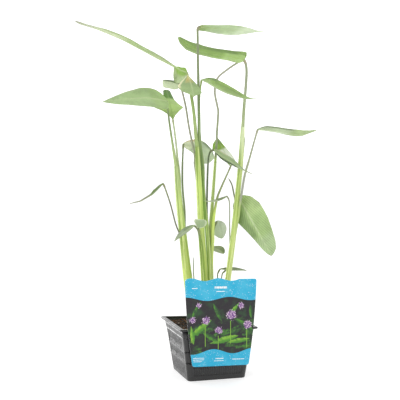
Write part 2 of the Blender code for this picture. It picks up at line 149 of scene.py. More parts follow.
def addPiece(name, points, faces, material, replaced=(), values=None, sharp=None):
    # a mesh of the points, with values as attributes: one number or three for each point
    mesh = bpy.data.meshes.new(name)
    mesh.from_pydata((np.asarray(points) * 0.001).tolist(), [], faces)
    mesh.shade_smooth()
    if sharp:
        mesh.set_sharp_from_angle(angle=radians(sharp))
    for key, data in (values or {}).items():
        data = np.asarray(data, np.float32)
        kind, field = ("FLOAT_VECTOR", "vector") if data.ndim == 2 else ("FLOAT", "value")
        mesh.attributes.new(key, kind, "POINT").data.foreach_set(field, data.ravel())
    mesh.materials.append(material)
    piece = bpy.data.objects.new(name, mesh)
    bpy.context.scene.collection.objects.link(piece)
    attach(piece, "root")
    if replaced:
        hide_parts(*replaced)
    return piece


# Shader nodes

def feedInto(tree, socket, feed):
    # a feed is a link from another node, or a value
    if isinstance(feed, bpy.types.NodeSocket):
        tree.links.new(feed, socket)
    elif feed is not None:
        socket.default_value = feed


def addNode(tree, kind, *feeds, **settings):
    # settings are the node's own fields, feeds go to its inputs in order
    made = tree.nodes.new("ShaderNode" + kind)
    for key, value in settings.items():
        setattr(made, key, value)
    for place, feed in enumerate(feeds):
        feedInto(tree, made.inputs[place], feed)
    return made


def calc(tree, operation, a, b=None, c=None):
    # the result of one step of arithmetic
    return addNode(tree, "Math", a, b, c, operation=operation).outputs[0]


def times(tree, a, b):
    # a times b
    return calc(tree, "MULTIPLY", a, b)


def ramp(tree, value, low, high, lowOut=0.0, highOut=1.0):
    # eases from lowOut to highOut as the value goes from low to high
    made = addNode(tree, "MapRange", value, low, high, lowOut, highOut, interpolation_type="SMOOTHSTEP")
    return made.outputs[0]


def mixColor(tree, share, a, b, way="MIX"):
    # a where the share is 0, b where it is 1; a color mix has its share first, its colors at 6 and 7
    made = addNode(tree, "Mix", data_type="RGBA", blend_type=way)
    for place, feed in ((0, share), (6, a), (7, b)):
        feedInto(tree, made.inputs[place], feed)
    return made.outputs[2]


def lit(tree, color, light):
    # the color times a grey of that lightness
    grey = addNode(tree, "CombineColor", light, light, light).outputs[0]
    return mixColor(tree, 1.0, color, grey, "MULTIPLY")


def noise(tree, place, scale, detail=3.0, roughness=0.5):
    # soft random values round 0.5, the second input left out
    return addNode(tree, "TexNoise", place, None, scale, detail, roughness).outputs[0]


def attribute(tree, key, output="Fac"):
    # the values that addPiece gave the mesh under that name
    return addNode(tree, "Attribute", attribute_name=key).outputs[output]


def objectPlace(tree):
    # the place in the piece's own metres, which the patterns follow
    return addNode(tree, "TexCoord").outputs["Object"]


def newGroup(name, takes, gives):
    # an empty node group: a tuple it takes is a color, a number a value, and gives names kinds
    group = bpy.data.node_groups.new(name, "ShaderNodeTree")
    for key, value in takes.items():
        kind = "NodeSocketColor" if isinstance(value, tuple) else "NodeSocketFloat"
        group.interface.new_socket(key, in_out="INPUT", socket_type=kind).default_value = value
    for key, kind in gives.items():
        group.interface.new_socket(key, in_out="OUTPUT", socket_type="NodeSocket" + kind)
    return group, group.nodes.new("NodeGroupInput").outputs, group.nodes.new("NodeGroupOutput").inputs


def useGroup(tree, group, **feeds):
    # the group's outputs, with a feed for each input by its name
    made = addNode(tree, "Group", node_tree=group)
    for key, feed in feeds.items():
        feedInto(tree, made.inputs[key], feed)
    return made.outputs


def newMaterial(name, **sockets):
    # a principled surface with some of its inputs set
    made = bpy.data.materials.new(name)
    made.use_nodes = True
    shader = made.node_tree.nodes["Principled BSDF"]
    for key, value in sockets.items():
        shader.inputs[key].default_value = value
    return made, made.node_tree, shader


def paint(tree, shader, color):
    # makes the color the surface's own
    tree.links.new(color, shader.inputs["Base Color"])


def addBump(tree, shader, height, distance, strength=1.0):
    # tilts the light as if the surface stood out by the height times the distance in metres
    bump = addNode(tree, "Bump")
    bump.inputs["Strength"].default_value = strength
    bump.inputs["Distance"].default_value = distance
    tree.links.new(height, bump.inputs["Height"])
    tree.links.new(bump.outputs[0], shader.inputs["Normal"])


def mottleGroup():
    # makes a color lighter and darker in soft patches of about the given size in metres: it
    # is multiplied by 1 plus twice the depth times the noise's distance from its middle
    group, takes, gives = newGroup("mottle", {"Color": (0.5, 0.5, 0.5, 1.0), "Size": 0.02, "Depth": 0.15},
                                   {"Color": "Color"})
    patches = noise(group, objectPlace(group), calc(group, "DIVIDE", 1.0, takes["Size"]), 4.0, 0.6)
    swing = calc(group, "MULTIPLY_ADD", calc(group, "SUBTRACT", patches, 0.5), takes["Depth"], 0.5)
    group.links.new(lit(group, takes["Color"], times(group, swing, 2.0)), gives["Color"])
    return group


def streakGroup():
    # fine lines along a shoot or stalk, from the grain attribute, which is stretched along it:
    # paler where the broad noise is high, darker where it is low, and lit by the fine noise
    group, takes, gives = newGroup("lengthwise streaks",
                                   {"Color": (0.5, 0.5, 0.5, 1.0), "Pale": (0.8, 0.9, 0.5, 1.0),
                                    "Dark": (0.2, 0.3, 0.1, 1.0), "Depth": 0.5},
                                   {"Color": "Color", "Lines": "Float"})
    grain = attribute(group, "grain", "Vector")
    broad, fine = noise(group, grain, 0.45), noise(group, grain, 2.2, 3.0, 0.6)
    paler = times(group, ramp(group, broad, 0.50, 0.66), takes["Depth"])
    darker = times(group, ramp(group, broad, 0.48, 0.34), takes["Depth"])
    color = mixColor(group, paler, takes["Color"], takes["Pale"])
    color = mixColor(group, darker, color, takes["Dark"])
    group.links.new(lit(group, color, ramp(group, fine, 0.3, 0.7, 0.9, 1.08)), gives["Color"])
    group.links.new(fine, gives["Lines"])
    return group


mottle = mottleGroup()
streaks = streakGroup()


def mottled(tree, color, size, depth):
    # the color in soft patches, as mottleGroup makes them
    return useGroup(tree, mottle, Color=color, Size=size, Depth=depth)["Color"]


# The pot

pot = {
    "height": 73.0, "rimHalf": 55.0, "topHalf": 51.0, "baseHalf": 41.7, "wall": 1.5,
    "lip": 2.5, "lipCorner": 3.0, "rimCorner": 5.5, "baseCorner": 6.0, "cornerSteps": 6,
    "slotWidth": 0.32, "slotPitch": 3.2, "slotsARow": 22,
    "slotRows": ((7.0, 24.0), (27.0, 39.3), (42.3, 59.0)),
    # heights, and how far out the wall stands there
    "foot": ((0.0, -1.0), (0.25, -0.3), (1.0, 0.0), (5.0, 0.0)), "collar": ((60.5, 0.0), (61.5, 0.3)),
    "band": 0.6, "bandWidth": 1.0, "raise": 1.9, "spread": 1.3,
    "color": tint(13, 13, 14), "dust": tint(92, 90, 87), "dustShare": 0.5,
}
underLip = pot["height"] - pot["lip"]


def potHalf(z):
    # half the pot's width, which grows evenly from the base to the lip
    return pot["baseHalf"] + (pot["topHalf"] - pot["baseHalf"]) * z / underLip


def potCorner(z):
    # the radius of its corners, which changes evenly from the base to the rim
    return pot["baseCorner"] + (pot["rimCorner"] - pot["baseCorner"]) * z / pot["height"]


def squareRing(half, corner, z, across, steps=pot["cornerSteps"]):
    # round a square with round corners: the points across a side, then an arc, four times
    turn = np.linspace(0, pi / 2, steps + 1)[1:-1]
    flat = half - corner
    side = np.stack([np.full(len(across), half), np.clip(across, -flat, flat)], -1)
    side[0, 1], side[-1, 1] = -flat, flat
    arc = np.stack([flat + corner * np.cos(turn), flat + corner * np.sin(turn)], -1)
    quarter = np.vstack([side, arc])
    ring = np.vstack([quarter, quarter[:, ::-1] * (-1, 1), -quarter, quarter[:, ::-1] * (1, -1)])
    return np.column_stack([ring, np.full(len(ring), z)])


def warp(points):
    # the thin rim stands a little high and wide on its left, less so further down: both grow
    # with the distance to the left and with the cube of the height
    left, high = -points[:, 0] / pot["rimHalf"], points[:, 2] / pot["height"]
    share = np.clip(left, 0, 1) * np.clip(high, 0, 1) ** 3
    return points + np.stack([-pot["spread"] * share, 0 * share, pot["raise"] * share], -1)


def blackPlastic():
    # mottled black with specks of dust in patches, shiny and dull by turns
    material, tree, shader = newMaterial("blackPlastic", Roughness=0.3, IOR=1.6)
    place = objectPlace(tree)
    black = mottled(tree, pot["color"], 0.012, 0.35)
    specks = ramp(tree, noise(tree, place, 900.0, 2.0), 0.62, 0.72)
    patches = ramp(tree, noise(tree, place, 55.0), 0.45, 0.7)
    dusty = times(tree, times(tree, specks, patches), pot["dustShare"])
    paint(tree, shader, mixColor(tree, dusty, black, pot["dust"]))
    rough = ramp(tree, noise(tree, place, 140.0, 4.0), 0.3, 0.7, 0.24, 0.40)
    tree.links.new(rough, shader.inputs["Roughness"])
    addBump(tree, shader, noise(tree, place, 700.0), 0.0001, 0.5)
    return material


def makeWall(material):
    # one sheet from the middle of the base up to the lip: a square ring at each level, with a
    # band over each row of slots and under all but the lowest, and the cells left out where a
    # slot meets a row of slots
    first = -pot["slotPitch"] * (pot["slotsARow"] - 1) / 2
    middles = first + pot["slotPitch"] * np.arange(pot["slotsARow"])
    edges = np.stack([middles - pot["slotWidth"] / 2, middles + pot["slotWidth"] / 2], -1).ravel()
    across = np.concatenate([[-pot["topHalf"]], edges, [pot["topHalf"]]])
    slotColumns = np.concatenate([[False], np.tile([True, False], pot["slotsARow"])])
    levels = [*pot["foot"], *pot["collar"], (underLip, pot["collar"][-1][1])]
    wide = pot["bandWidth"]
    for low, high in pot["slotRows"]:
        levels += [(low - wide, 0.0), (low, 0.0), (high, 0.0), (high + wide / 2, pot["band"])]
    levels += [(low - wide / 2, pot["band"]) for low, high in pot["slotRows"][1:]]
    levels = sorted(levels)
    rings = np.stack([squareRing(potHalf(z) + out, potCorner(z), z, across) for z, out in levels])
    rows, around = rings.shape[:2]
    heights = np.array([z for z, out in levels])
    slotRow = np.zeros(rows - 1, bool)
    for low, high in pot["slotRows"]:
        slotRow |= (heights[:-1] >= low) & (heights[1:] <= high)
    solid = np.zeros(around // 4 - len(slotColumns), bool)
    slotAround = np.tile(np.concatenate([slotColumns, solid]), 4)
    keep = ~(slotRow[:, None] & slotAround[None, :])
    cells = np.array(gridFaces(rows, around, closed=True))[keep.ravel()].tolist()
    j = np.arange(around)
    cells += np.stack([np.full(around, rows * around), (j + 1) % around, j], -1).tolist()
    points = warp(np.vstack([rings.reshape(-1, 3), [0, 0, 0]]))
    wall = addPiece("pot_wall", points, cells, material, ["pot"], sharp=35)
    thick = wall.modifiers.new("thickness", "SOLIDIFY")
    thick.thickness = pot["wall"] * 0.001
    thick.offset = -1
    thick.use_even_offset = False


def makeLip(material):
    # one closed section carried round the rim: how far out from the rim's edge, and how high
    top, low = pot["height"], underLip
    inner = potHalf(top) - pot["wall"] - pot["rimHalf"]
    section = [(inner, low - 1.0), (-4.6, low - 1.0), (-4.1, low - 0.05), (-0.5, low), (-0.1, low + 0.2),
               (0.0, low + 0.6), (0.0, top - 0.6), (-0.2, top - 0.2), (-0.6, top), (inner + 0.5, top),
               (inner + 0.1, top - 0.25), (inner, top - 0.8)]
    across = np.linspace(-pot["topHalf"], pot["topHalf"], 9)
    rings = np.stack([squareRing(pot["rimHalf"] + out, pot["lipCorner"] + out * 0.2, z, across)
                      for out, z in section])
    rows, around = rings.shape[:2]
    cells = np.array(gridFaces(rows + 1, around, closed=True)) % (rows * around)
    addPiece("pot_lip", warp(rings.reshape(-1, 3)), cells.tolist(), material, ["pot"], sharp=50)


def makePot():
    # the wall and the lip, in one plastic
    material = blackPlastic()
    makeWall(material)
    makeLip(material)
    print("pot made")


# The soil

soil = {
    "top": 70.6, "bottom": 2.0, "gap": 0.35, "side": 24, "rings": 60, "walls": 44, "seed": 11,
    "bumps": ((14.0, 0.9), (5.0, 0.7), (2.0, 0.45)), "sunk": 0.012,
    "hollow": 0.35, "hollows": ((4.0, 3), (1.7, 5)),
    "crumbs": 1500, "grit": 60, "gritSize": 0.8, "crumbWidth": (0.35, 1.3), "crumbLong": (0.8, 2.4),
    "crumbLow": (0.3, 0.8), "dents": (0.75, 1.2), "clear": 2.5, "tilt": 0.35, "stand": 0.1,
    "tones": (0.75, 1.6), "edgeDrop": 1.0, "wallDrop": 2.0, "hollowTurn": 60.0,
    "color": tint(28, 15, 4), "dark": tint(11, 7, 3), "pale": tint(132, 92, 56),
    "gritColor": tint(214, 200, 184),
}
soilEdge = potHalf(soil["top"]) - pot["wall"] - soil["gap"]


def soilHeight(x, y):
    # the top plus noise of several cell sizes, each times its own height
    return soil["top"] + sum(size * latticeNoise(x, y, cell, soil["seed"] + int(cell))
                             for cell, size in soil["bumps"])


def dampCompost():
    # dark and brown in crumbs, pale fibres that lie flat, and soft patches over it
    material, tree, shader = newMaterial("dampCompost", Roughness=0.95)
    crumbly = noise(tree, objectPlace(tree), 420.0, 5.0, 0.65)
    color = mixColor(tree, ramp(tree, crumbly, 0.35, 0.65), soil["dark"], soil["color"])
    flattened = addNode(tree, "Mapping", objectPlace(tree), None, None, (1.0, 1.0, 0.3)).outputs[0]
    fibres = noise(tree, flattened, 300.0, 2.0)
    color = mixColor(tree, ramp(tree, fibres, 0.66, 0.74, 0.0, 0.7), color, soil["pale"])
    paint(tree, shader, mottled(tree, color, 0.01, 0.5))
    addBump(tree, shader, crumbly, 0.0006)
    return material


def makeLump():
    # a closed lump: rings out over the bumpy top, whose last twelfth goes over into a level
    # edge, then down inside the pot's wall, drawn in by hollows, and a point at each end
    across = np.linspace(-pot["topHalf"], pot["topHalf"], soil["side"])
    rings = []
    for share in np.linspace(0.02, 1.0, soil["rings"]):
        ring = squareRing(soilEdge * share, potCorner(soil["top"]) * share, 0.0, across * share)
        ring[:, 2] = soilHeight(ring[:, 0], ring[:, 1])
        atEdge = np.clip(share * 12 - 11, 0, 1)
        ring[:, 2] += (soil["top"] - soil["edgeDrop"] - ring[:, 2]) * atEdge
        rings.append(ring)
    for z in np.linspace(soil["top"] - soil["wallDrop"], soil["bottom"], soil["walls"]):
        ring = squareRing(potHalf(z) - pot["wall"] - soil["gap"], potCorner(z), z, across)
        turn = np.arctan2(ring[:, 1], ring[:, 0]) * soil["hollowTurn"]
        hollow = 1 + sum(soil["hollow"] * latticeNoise(turn, z + 0 * turn, cell, seed)
                         for cell, seed in soil["hollows"])
        ring[:, :2] *= (1 - soil["sunk"] * hollow)[:, None]
        rings.append(ring)
    points, faces = closedTube(np.stack(rings)[::-1])
    points[-1, 2] = soil["top"]
    addPiece("soil", points, faces, dampCompost(), ["soil"])


def turned(quaternions):
    # each quaternion as the 3 by 3 matrix that turns a point by it
    a, b, c, w = quaternions.T
    entries = [1 - 2 * (b * b + c * c), 2 * (a * b - c * w), 2 * (a * c + b * w),
               2 * (a * b + c * w), 1 - 2 * (a * a + c * c), 2 * (b * c - a * w),
               2 * (a * c - b * w), 2 * (b * c + a * w), 1 - 2 * (a * a + b * b)]
    return np.stack(entries, -1).reshape(-1, 3, 3)


def barkAndGrit():
    # from dark to pale by each crumb's tone, and the grit's color where that is 1
    material, tree, shader = newMaterial("barkAndGrit", Roughness=0.9)
    tones = attribute(tree, "tone")
    color = mixColor(tree, tones, soil["dark"], soil["pale"])
    color = mixColor(tree, ramp(tree, tones, 0.9, 1.0), color, soil["gritColor"])
    paint(tree, shader, mottled(tree, color, 0.003, 0.4))
    return material


def makeCrumbs():
    # crumbs of bark and peat, and a few grains of pale grit, all one mesh: balls of six
    # meridians, dented, stretched and turned at random, half sunk in the soil
    draw = np.random.default_rng(soil["seed"])
    count = soil["crumbs"] + soil["grit"]
    isCrumb = np.arange(count) < soil["crumbs"]
    reach = soilEdge - soil["clear"]
    x, y = draw.uniform(-reach, reach, (2, count))
    width = draw.uniform(*soil["crumbWidth"], count) * np.where(isCrumb, 1.0, soil["gritSize"])
    long, low = (width * draw.uniform(*soil[key], count) for key in ("crumbLong", "crumbLow"))
    stretch = np.stack([long, width, low], -1)
    spin = turned(unit(draw.normal(size=(count, 4)) * (soil["tilt"], soil["tilt"], 1.0, 1.0)))
    lat, lon = np.meshgrid(np.linspace(-pi / 3, pi / 3, 3), np.arange(6) * pi / 3, indexing="ij")
    ball = np.stack([np.cos(lat) * np.cos(lon), np.cos(lat) * np.sin(lon), np.sin(lat)], -1)
    points, faces = closedTube(ball)
    lumps = points[None] * draw.uniform(*soil["dents"], (count, len(points), 1))
    lumps = np.einsum("nij,npj->npi", spin, lumps * stretch[:, None])
    lumps += np.stack([x, y, soilHeight(x, y) + soil["stand"] * width], -1)[:, None]
    steps = np.arange(count)[:, None, None] * len(points)
    cells = []
    for corners in (4, 3):
        one = np.array([face for face in faces if len(face) == corners])
        cells += (one[None] + steps).reshape(-1, corners).tolist()
    palest, power = soil["tones"]
    tone = np.where(isCrumb, draw.uniform(0, palest, count) ** power, 1.0)
    addPiece("soil_crumbs", lumps.reshape(-1, 3), cells, barkAndGrit(),
             values={"tone": np.repeat(tone, len(points))}, sharp=40)


# Shoots: rolled leaf sheaths, one wrapped round the other

shoots = {
    "left": {
        "radii": (7.8, 3.7), "sheaths": 3, "wind": 0.35, "turn": 0.4,
        "route": ((-17, 2, 54), (-20.6, 4, 79), (-29, 5, 134), (-36.3, 5, 196), (-41, 6, 243),
            (-46, 5, 295)),
        "foot": tint(226, 242, 108), "top": tint(206, 228, 136), "tip": tint(174, 196, 134)},
    "middle": {
        "radii": (5.8, 3.8), "sheaths": 3, "wind": -0.3, "turn": 2.0,
        "route": ((-6.5, -8, 54), (-6.5, -8, 81), (-8.4, -8, 135), (-13, -8, 201), (-15.5, -8, 247),
            (-19, -8, 322)),
        "foot": tint(134, 156, 26), "top": tint(214, 238, 126), "tip": tint(154, 180, 96)},
    "back": {
        "radii": (4.4, 2.4), "sheaths": 2, "wind": 0.4, "turn": 1.1,
        "route": ((4, -1, 54), (3, -1, 79), (2, -1, 133), (-2, 0, 200), (-7, 0, 247), (-12, -1, 316)),
        "foot": tint(152, 176, 66), "top": tint(136, 172, 84), "tip": tint(120, 152, 78)},
    "inner": {
        "radii": (4.2, 1.6), "sheaths": 2, "wind": -0.5, "turn": 0.2,
        "route": ((9, 8, 54), (8, 7, 79), (6, 6, 132), (5, 6, 201), (7.5, 7, 239), (11, 8, 282),
            (14, 6, 332)),
        "foot": tint(186, 212, 98), "top": tint(180, 202, 120), "tip": tint(160, 184, 102)},
    "right": {
        "radii": (4.7, 3.6), "sheaths": 3, "wind": 0.3, "turn": 2.8,
        "route": ((20, -6, 54), (21, -6, 79), (26, -8, 133), (33, -10, 190), (37, -11, 230),
            (43, -13, 296), (46, -14, 350)),
        "foot": tint(244, 255, 160), "top": tint(192, 214, 124), "tip": tint(222, 236, 190)},
}
sheath = {
    "steps": 12, "spacing": 2.0, "around": 60, "fold": 0.5, "thinTo": 0.6, "inset": 0.1, "oval": 0.03,
    "windLength": 40.0, "sway": 0.25, "swayLength": 31.0, "closing": 30.0, "closed": 0.78, "margin": 0.10,
    "tones": (2.3, 3.0), "streaks": 0.6, "shade": 0.3,
    "pale": tint(238, 250, 172), "dark": tint(120, 154, 50),
}
grainStretch = 40.0  # how much the streaks are drawn out


def pathSides(route):
    # directions along a route, and two square to it
    ahead = unit(np.gradient(route, axis=0))
    side = unit(np.cross(ahead, (0.0, 1.0, 0.0)))
    return ahead, side, np.cross(ahead, side)


def roundRings(route, radius, around):
    # centre + radius * (side * cos turn + out * sin turn), the radius given row by row
    # or for each turn of each row
    turn = np.linspace(0, 2 * pi, around, endpoint=False)
    ahead, side, out = pathSides(route)
    spokes = side[:, None] * np.cos(turn)[None, :, None] + out[:, None] * np.sin(turn)[None, :, None]
    radius = np.broadcast_to(radius.reshape(len(route), -1), (len(route), around))
    return route[:, None] + spokes * radius[..., None], turn


def grainOf(run, turn, radius):
    # a place round and along a stem, drawn in along it so that noise there makes streaks
    across = radius[:, None, None] * np.stack([np.cos(turn), np.sin(turn)], -1)
    along = np.repeat(run[:, None, None] / grainStretch, len(turn), 1)
    return np.concatenate([across, along], -1)


def capValues(values, columns=None):
    # a value for each point of a tube and for the point that closes each end; given row by
    # row, it is repeated round the tube
    if columns:
        values = np.repeat(values[:, None], columns, 1)
    flat = values.reshape(-1, *values.shape[2:])
    return np.concatenate([flat, values[0].mean(0)[None], values[-1].mean(0)[None]])


def shootPath(name):
    # the shoot's route, and its radius, which goes evenly from foot to top
    shoot = shoots[name]
    route = evenly(smoothRoute(shoot["route"], sheath["steps"]), sheath["spacing"])
    share = runAlong(route) / runAlong(route)[-1]
    foot, top = shoot["radii"]
    return route, foot + (top - foot) * share


def rolledSheaths(name, shoot):
    # foot, top and tip colors by the share of the height, streaks, a shade of its own for each
    # sheath and a pale margin at its free edge
    material, tree, shader = newMaterial(name + "Sheaths", Roughness=0.42)
    share = attribute(tree, "share")
    color = mixColor(tree, ramp(tree, share, 0.02, 0.75), shoot["foot"], shoot["top"])
    color = mixColor(tree, ramp(tree, share, 0.76, 0.96), color, shoot["tip"])
    lined = useGroup(tree, streaks, Color=color, Pale=sheath["pale"], Dark=sheath["dark"],
                     Depth=sheath["streaks"])
    shade = ramp(tree, attribute(tree, "tone"), 0.0, 1.0, 0.0, sheath["shade"])
    color = mixColor(tree, shade, lined["Color"], sheath["dark"])
    edge = times(tree, attribute(tree, "margin"), 0.75)
    paint(tree, shader, mixColor(tree, edge, color, sheath["pale"]))
    addBump(tree, shader, lined["Lines"], 0.00025)
    return material


def makeShoot(name):
    # on the shoot's radius the sheaths lie like a winding staircase: each starts thin,
    # thickens round the stem and ends in a free edge; towards the top it all closes in
    shoot = shoots[name]
    route, radius = shootPath(name)
    run = runAlong(route)
    turn = np.linspace(0, 2 * pi, sheath["around"], endpoint=False)
    wind = shoot["turn"] + shoot["wind"] * run / sheath["windLength"]
    wind = wind + sheath["sway"] * np.sin(run / sheath["swayLength"] + shoot["turn"])
    stair = np.mod((turn[None] - wind[:, None]) / (2 * pi) * shoot["sheaths"], shoot["sheaths"])
    along = stair - np.floor(stair)
    thinner = (0.5 + 0.5 * radius / radius[0])[:, None]
    skin = sheath["fold"] * (along - sheath["thinTo"]) * thinner
    opened = np.clip((run[-1] - run) / sheath["closing"], 0, 1)[:, None]
    body = radius[:, None] * (1 + sheath["oval"] * np.cos(2 * turn[None] + shoot["turn"]))
    body = body - sheath["inset"]
    closed = sheath["closed"]
    body = body * (closed + (1 - closed) * opened * (2 - opened)) + skin * opened
    rings, turn = roundRings(route, body, len(turn))
    points, faces = closedTube(rings)
    each, start = sheath["tones"]
    tone = np.sin(np.floor(stair) * each + shoot["turn"] * start) * 0.5 + 0.5
    margin = np.exp(-((1 - along) / sheath["margin"]) ** 2)
    values = {"share": capValues(run / run[-1], len(turn)), "tone": capValues(tone),
              "margin": capValues(margin), "grain": capValues(grainOf(run, turn, radius))}
    node = name + "_shoot"
    addPiece(node, points, faces, rolledSheaths(name, shoot), [node], values)


# Stalks: thin and round, swollen and pink where they carry a blade

stalk = {
    "steps": 12, "spacing": 1.6, "around": 20, "girth": 1.25,
    # the joint's swelling, how far before the blade its middle is, and how long it is
    "swell": 0.42, "jointAt": 3.5, "jointLength": 2.94,
    # heights over the place where it comes out, and how many of its radii its middle stands
    # out of the shoot's skin there
    "climb": ((-46.0, -1.6), (-23.0, -0.7), (-8.0, 0.35), (0.0, 1.0), (12.0, 1.0)),
    # rows of a shoot's end that a stalk out of it repeats, and where one out of the soil starts
    "overlap": 14, "inSoil": (60.0, 78.5),
    # out of a shoot's end: its share of the shoot's radius, and the length on which that goes;
    # a pointed end: its length, and the share of the radius left
    "fromShoot": (0.9, 130.0), "point": (6.0, 0.25), "streaks": 0.35,
    "pale": tint(190, 204, 150), "jointColor": tint(198, 168, 138),
}
green, brown, dim = tint(158, 182, 112), tint(112, 118, 92), tint(118, 136, 92)


def besideShoot(name, height, bearing, radius):
    # a stalk starts inside its shoot and comes out through its skin, up to that height: the
    # shoot's middle, plus its radius and the stalk's standing out, in the bearing's direction
    route, reach = shootPath(name)
    way = np.array([np.cos(radians(bearing)), np.sin(radians(bearing)), 0.0])
    steps, proud = np.array(stalk["climb"]).T
    heights = height + steps
    middle = np.stack([np.interp(heights, route[:, 2], route[:, k]) for k in range(3)], -1)
    return middle + way * (np.interp(heights, route[:, 2], reach) + proud * radius)[:, None]


def stalkRoute(leaf):
    # from the soil, out of the end of its shoot or beside it, then through the leaf's points
    source, *where = leaf["root"]
    if source == "soil":
        start = np.array([(*where[0], z) for z in stalk["inSoil"]])
    elif where == ["top"]:
        start = shootPath(source)[0][[-stalk["overlap"], -1]]
    else:
        start = besideShoot(source, *where, leaf["radii"][0])
    return evenly(smoothRoute(np.vstack([start, leaf["route"]]), stalk["steps"]), stalk["spacing"])


def stalkMaterial(name, leaf):
    # its two colors by the share of its length, streaked, and pink at the joint
    material, tree, shader = newMaterial(name + "Skin", Roughness=0.45)
    low, high = leaf.get("stalk", (green, green))
    change = ramp(tree, attribute(tree, "share"), *leaf.get("change", (0.1, 0.8)))
    lined = useGroup(tree, streaks, Color=mixColor(tree, change, low, high), Pale=stalk["pale"], Dark=low,
                     Depth=stalk["streaks"])
    pink = times(tree, attribute(tree, "joint"), leaf.get("pink", 0.15))
    paint(tree, shader, mixColor(tree, pink, lined["Color"], stalk["jointColor"]))
    addBump(tree, shader, lined["Lines"], 0.00012)
    return material


def makeStalk(name, leaf, node):
    # round rings whose radius goes from foot to top, plus a swelling just short of the blade,
    # or a pointed end where there is no blade; out of a shoot's end it starts as wide as that
    route = stalkRoute(leaf)
    run = runAlong(route)
    share, left = run / run[-1], run[-1] - run
    foot, top = leaf["radii"]
    bladed = "tip" in leaf
    joint = np.exp(-((left - stalk["jointAt"]) / stalk["jointLength"]) ** 2) * bladed
    radius = (foot + (top - foot) * share) * stalk["girth"] + stalk["swell"] * joint
    if leaf["root"][-1] == "top":
        start, length = stalk["fromShoot"]
        radius = np.maximum(radius, shoots[leaf["root"][0]]["radii"][1] * (start - run / length))
    if not bladed:
        length, blunt = stalk["point"]
        radius = radius * np.clip(left / length + blunt, 0, 1)
    around = stalk["around"]
    rings, turn = roundRings(route, radius, around)
    points, faces = closedTube(rings)
    values = {"share": capValues(share, around), "joint": capValues(joint, around),
              "grain": capValues(grainOf(run, turn, radius))}
    addPiece(node, points, faces, stalkMaterial(name, leaf), [node], values)


# Blades

blade = {
    "row": 0.8, "fewestRows": 24, "columns": 28, "narrowColumns": 16, "narrow": 20.0,
    "thick": 0.5, "rim": 0.14, "baseHalf": 1.3, "tipHalf": 0.15, "wave": 0.6, "waveLength": 13.0,
    # powers of the share from the midrib to the edge, and the wave on the left beside the right's
    "wavePower": 2.5, "foldPower": 1.3, "thinPower": 4, "waveLeft": -0.7,
    # of the stalk's radius, and how fast it gets lower to the tip; widths as shares of ribWidth
    "ridge": 0.8, "ridgePower": 0.7, "ridgeWidth": 0.7, "ribShown": 0.75, "ribFade": 0.6,
    "veinStep": 2.6, "veinSlant": 1.15, "veinDepth": 0.07, "veinClear": (3.0, 2.0), "veins": 0.1,
    "groove": 0.35, "ribWidth": 1.1,
    "washSoft": (0.08, 0.14), "ribColor": tint(206, 220, 170),
    "marginWidth": 0.7, "marginColor": tint(128, 120, 84),
}
upperGreen, freshGreen = tint(175, 202, 143), tint(177, 205, 124)
powder, powderGreen, paleGreen = tint(190, 206, 172), tint(176, 196, 150), tint(210, 222, 186)
oliveGreen, deepGreen = tint(112, 138, 74), tint(84, 112, 60)
parchment, rust = tint(246, 236, 204), tint(206, 168, 118)

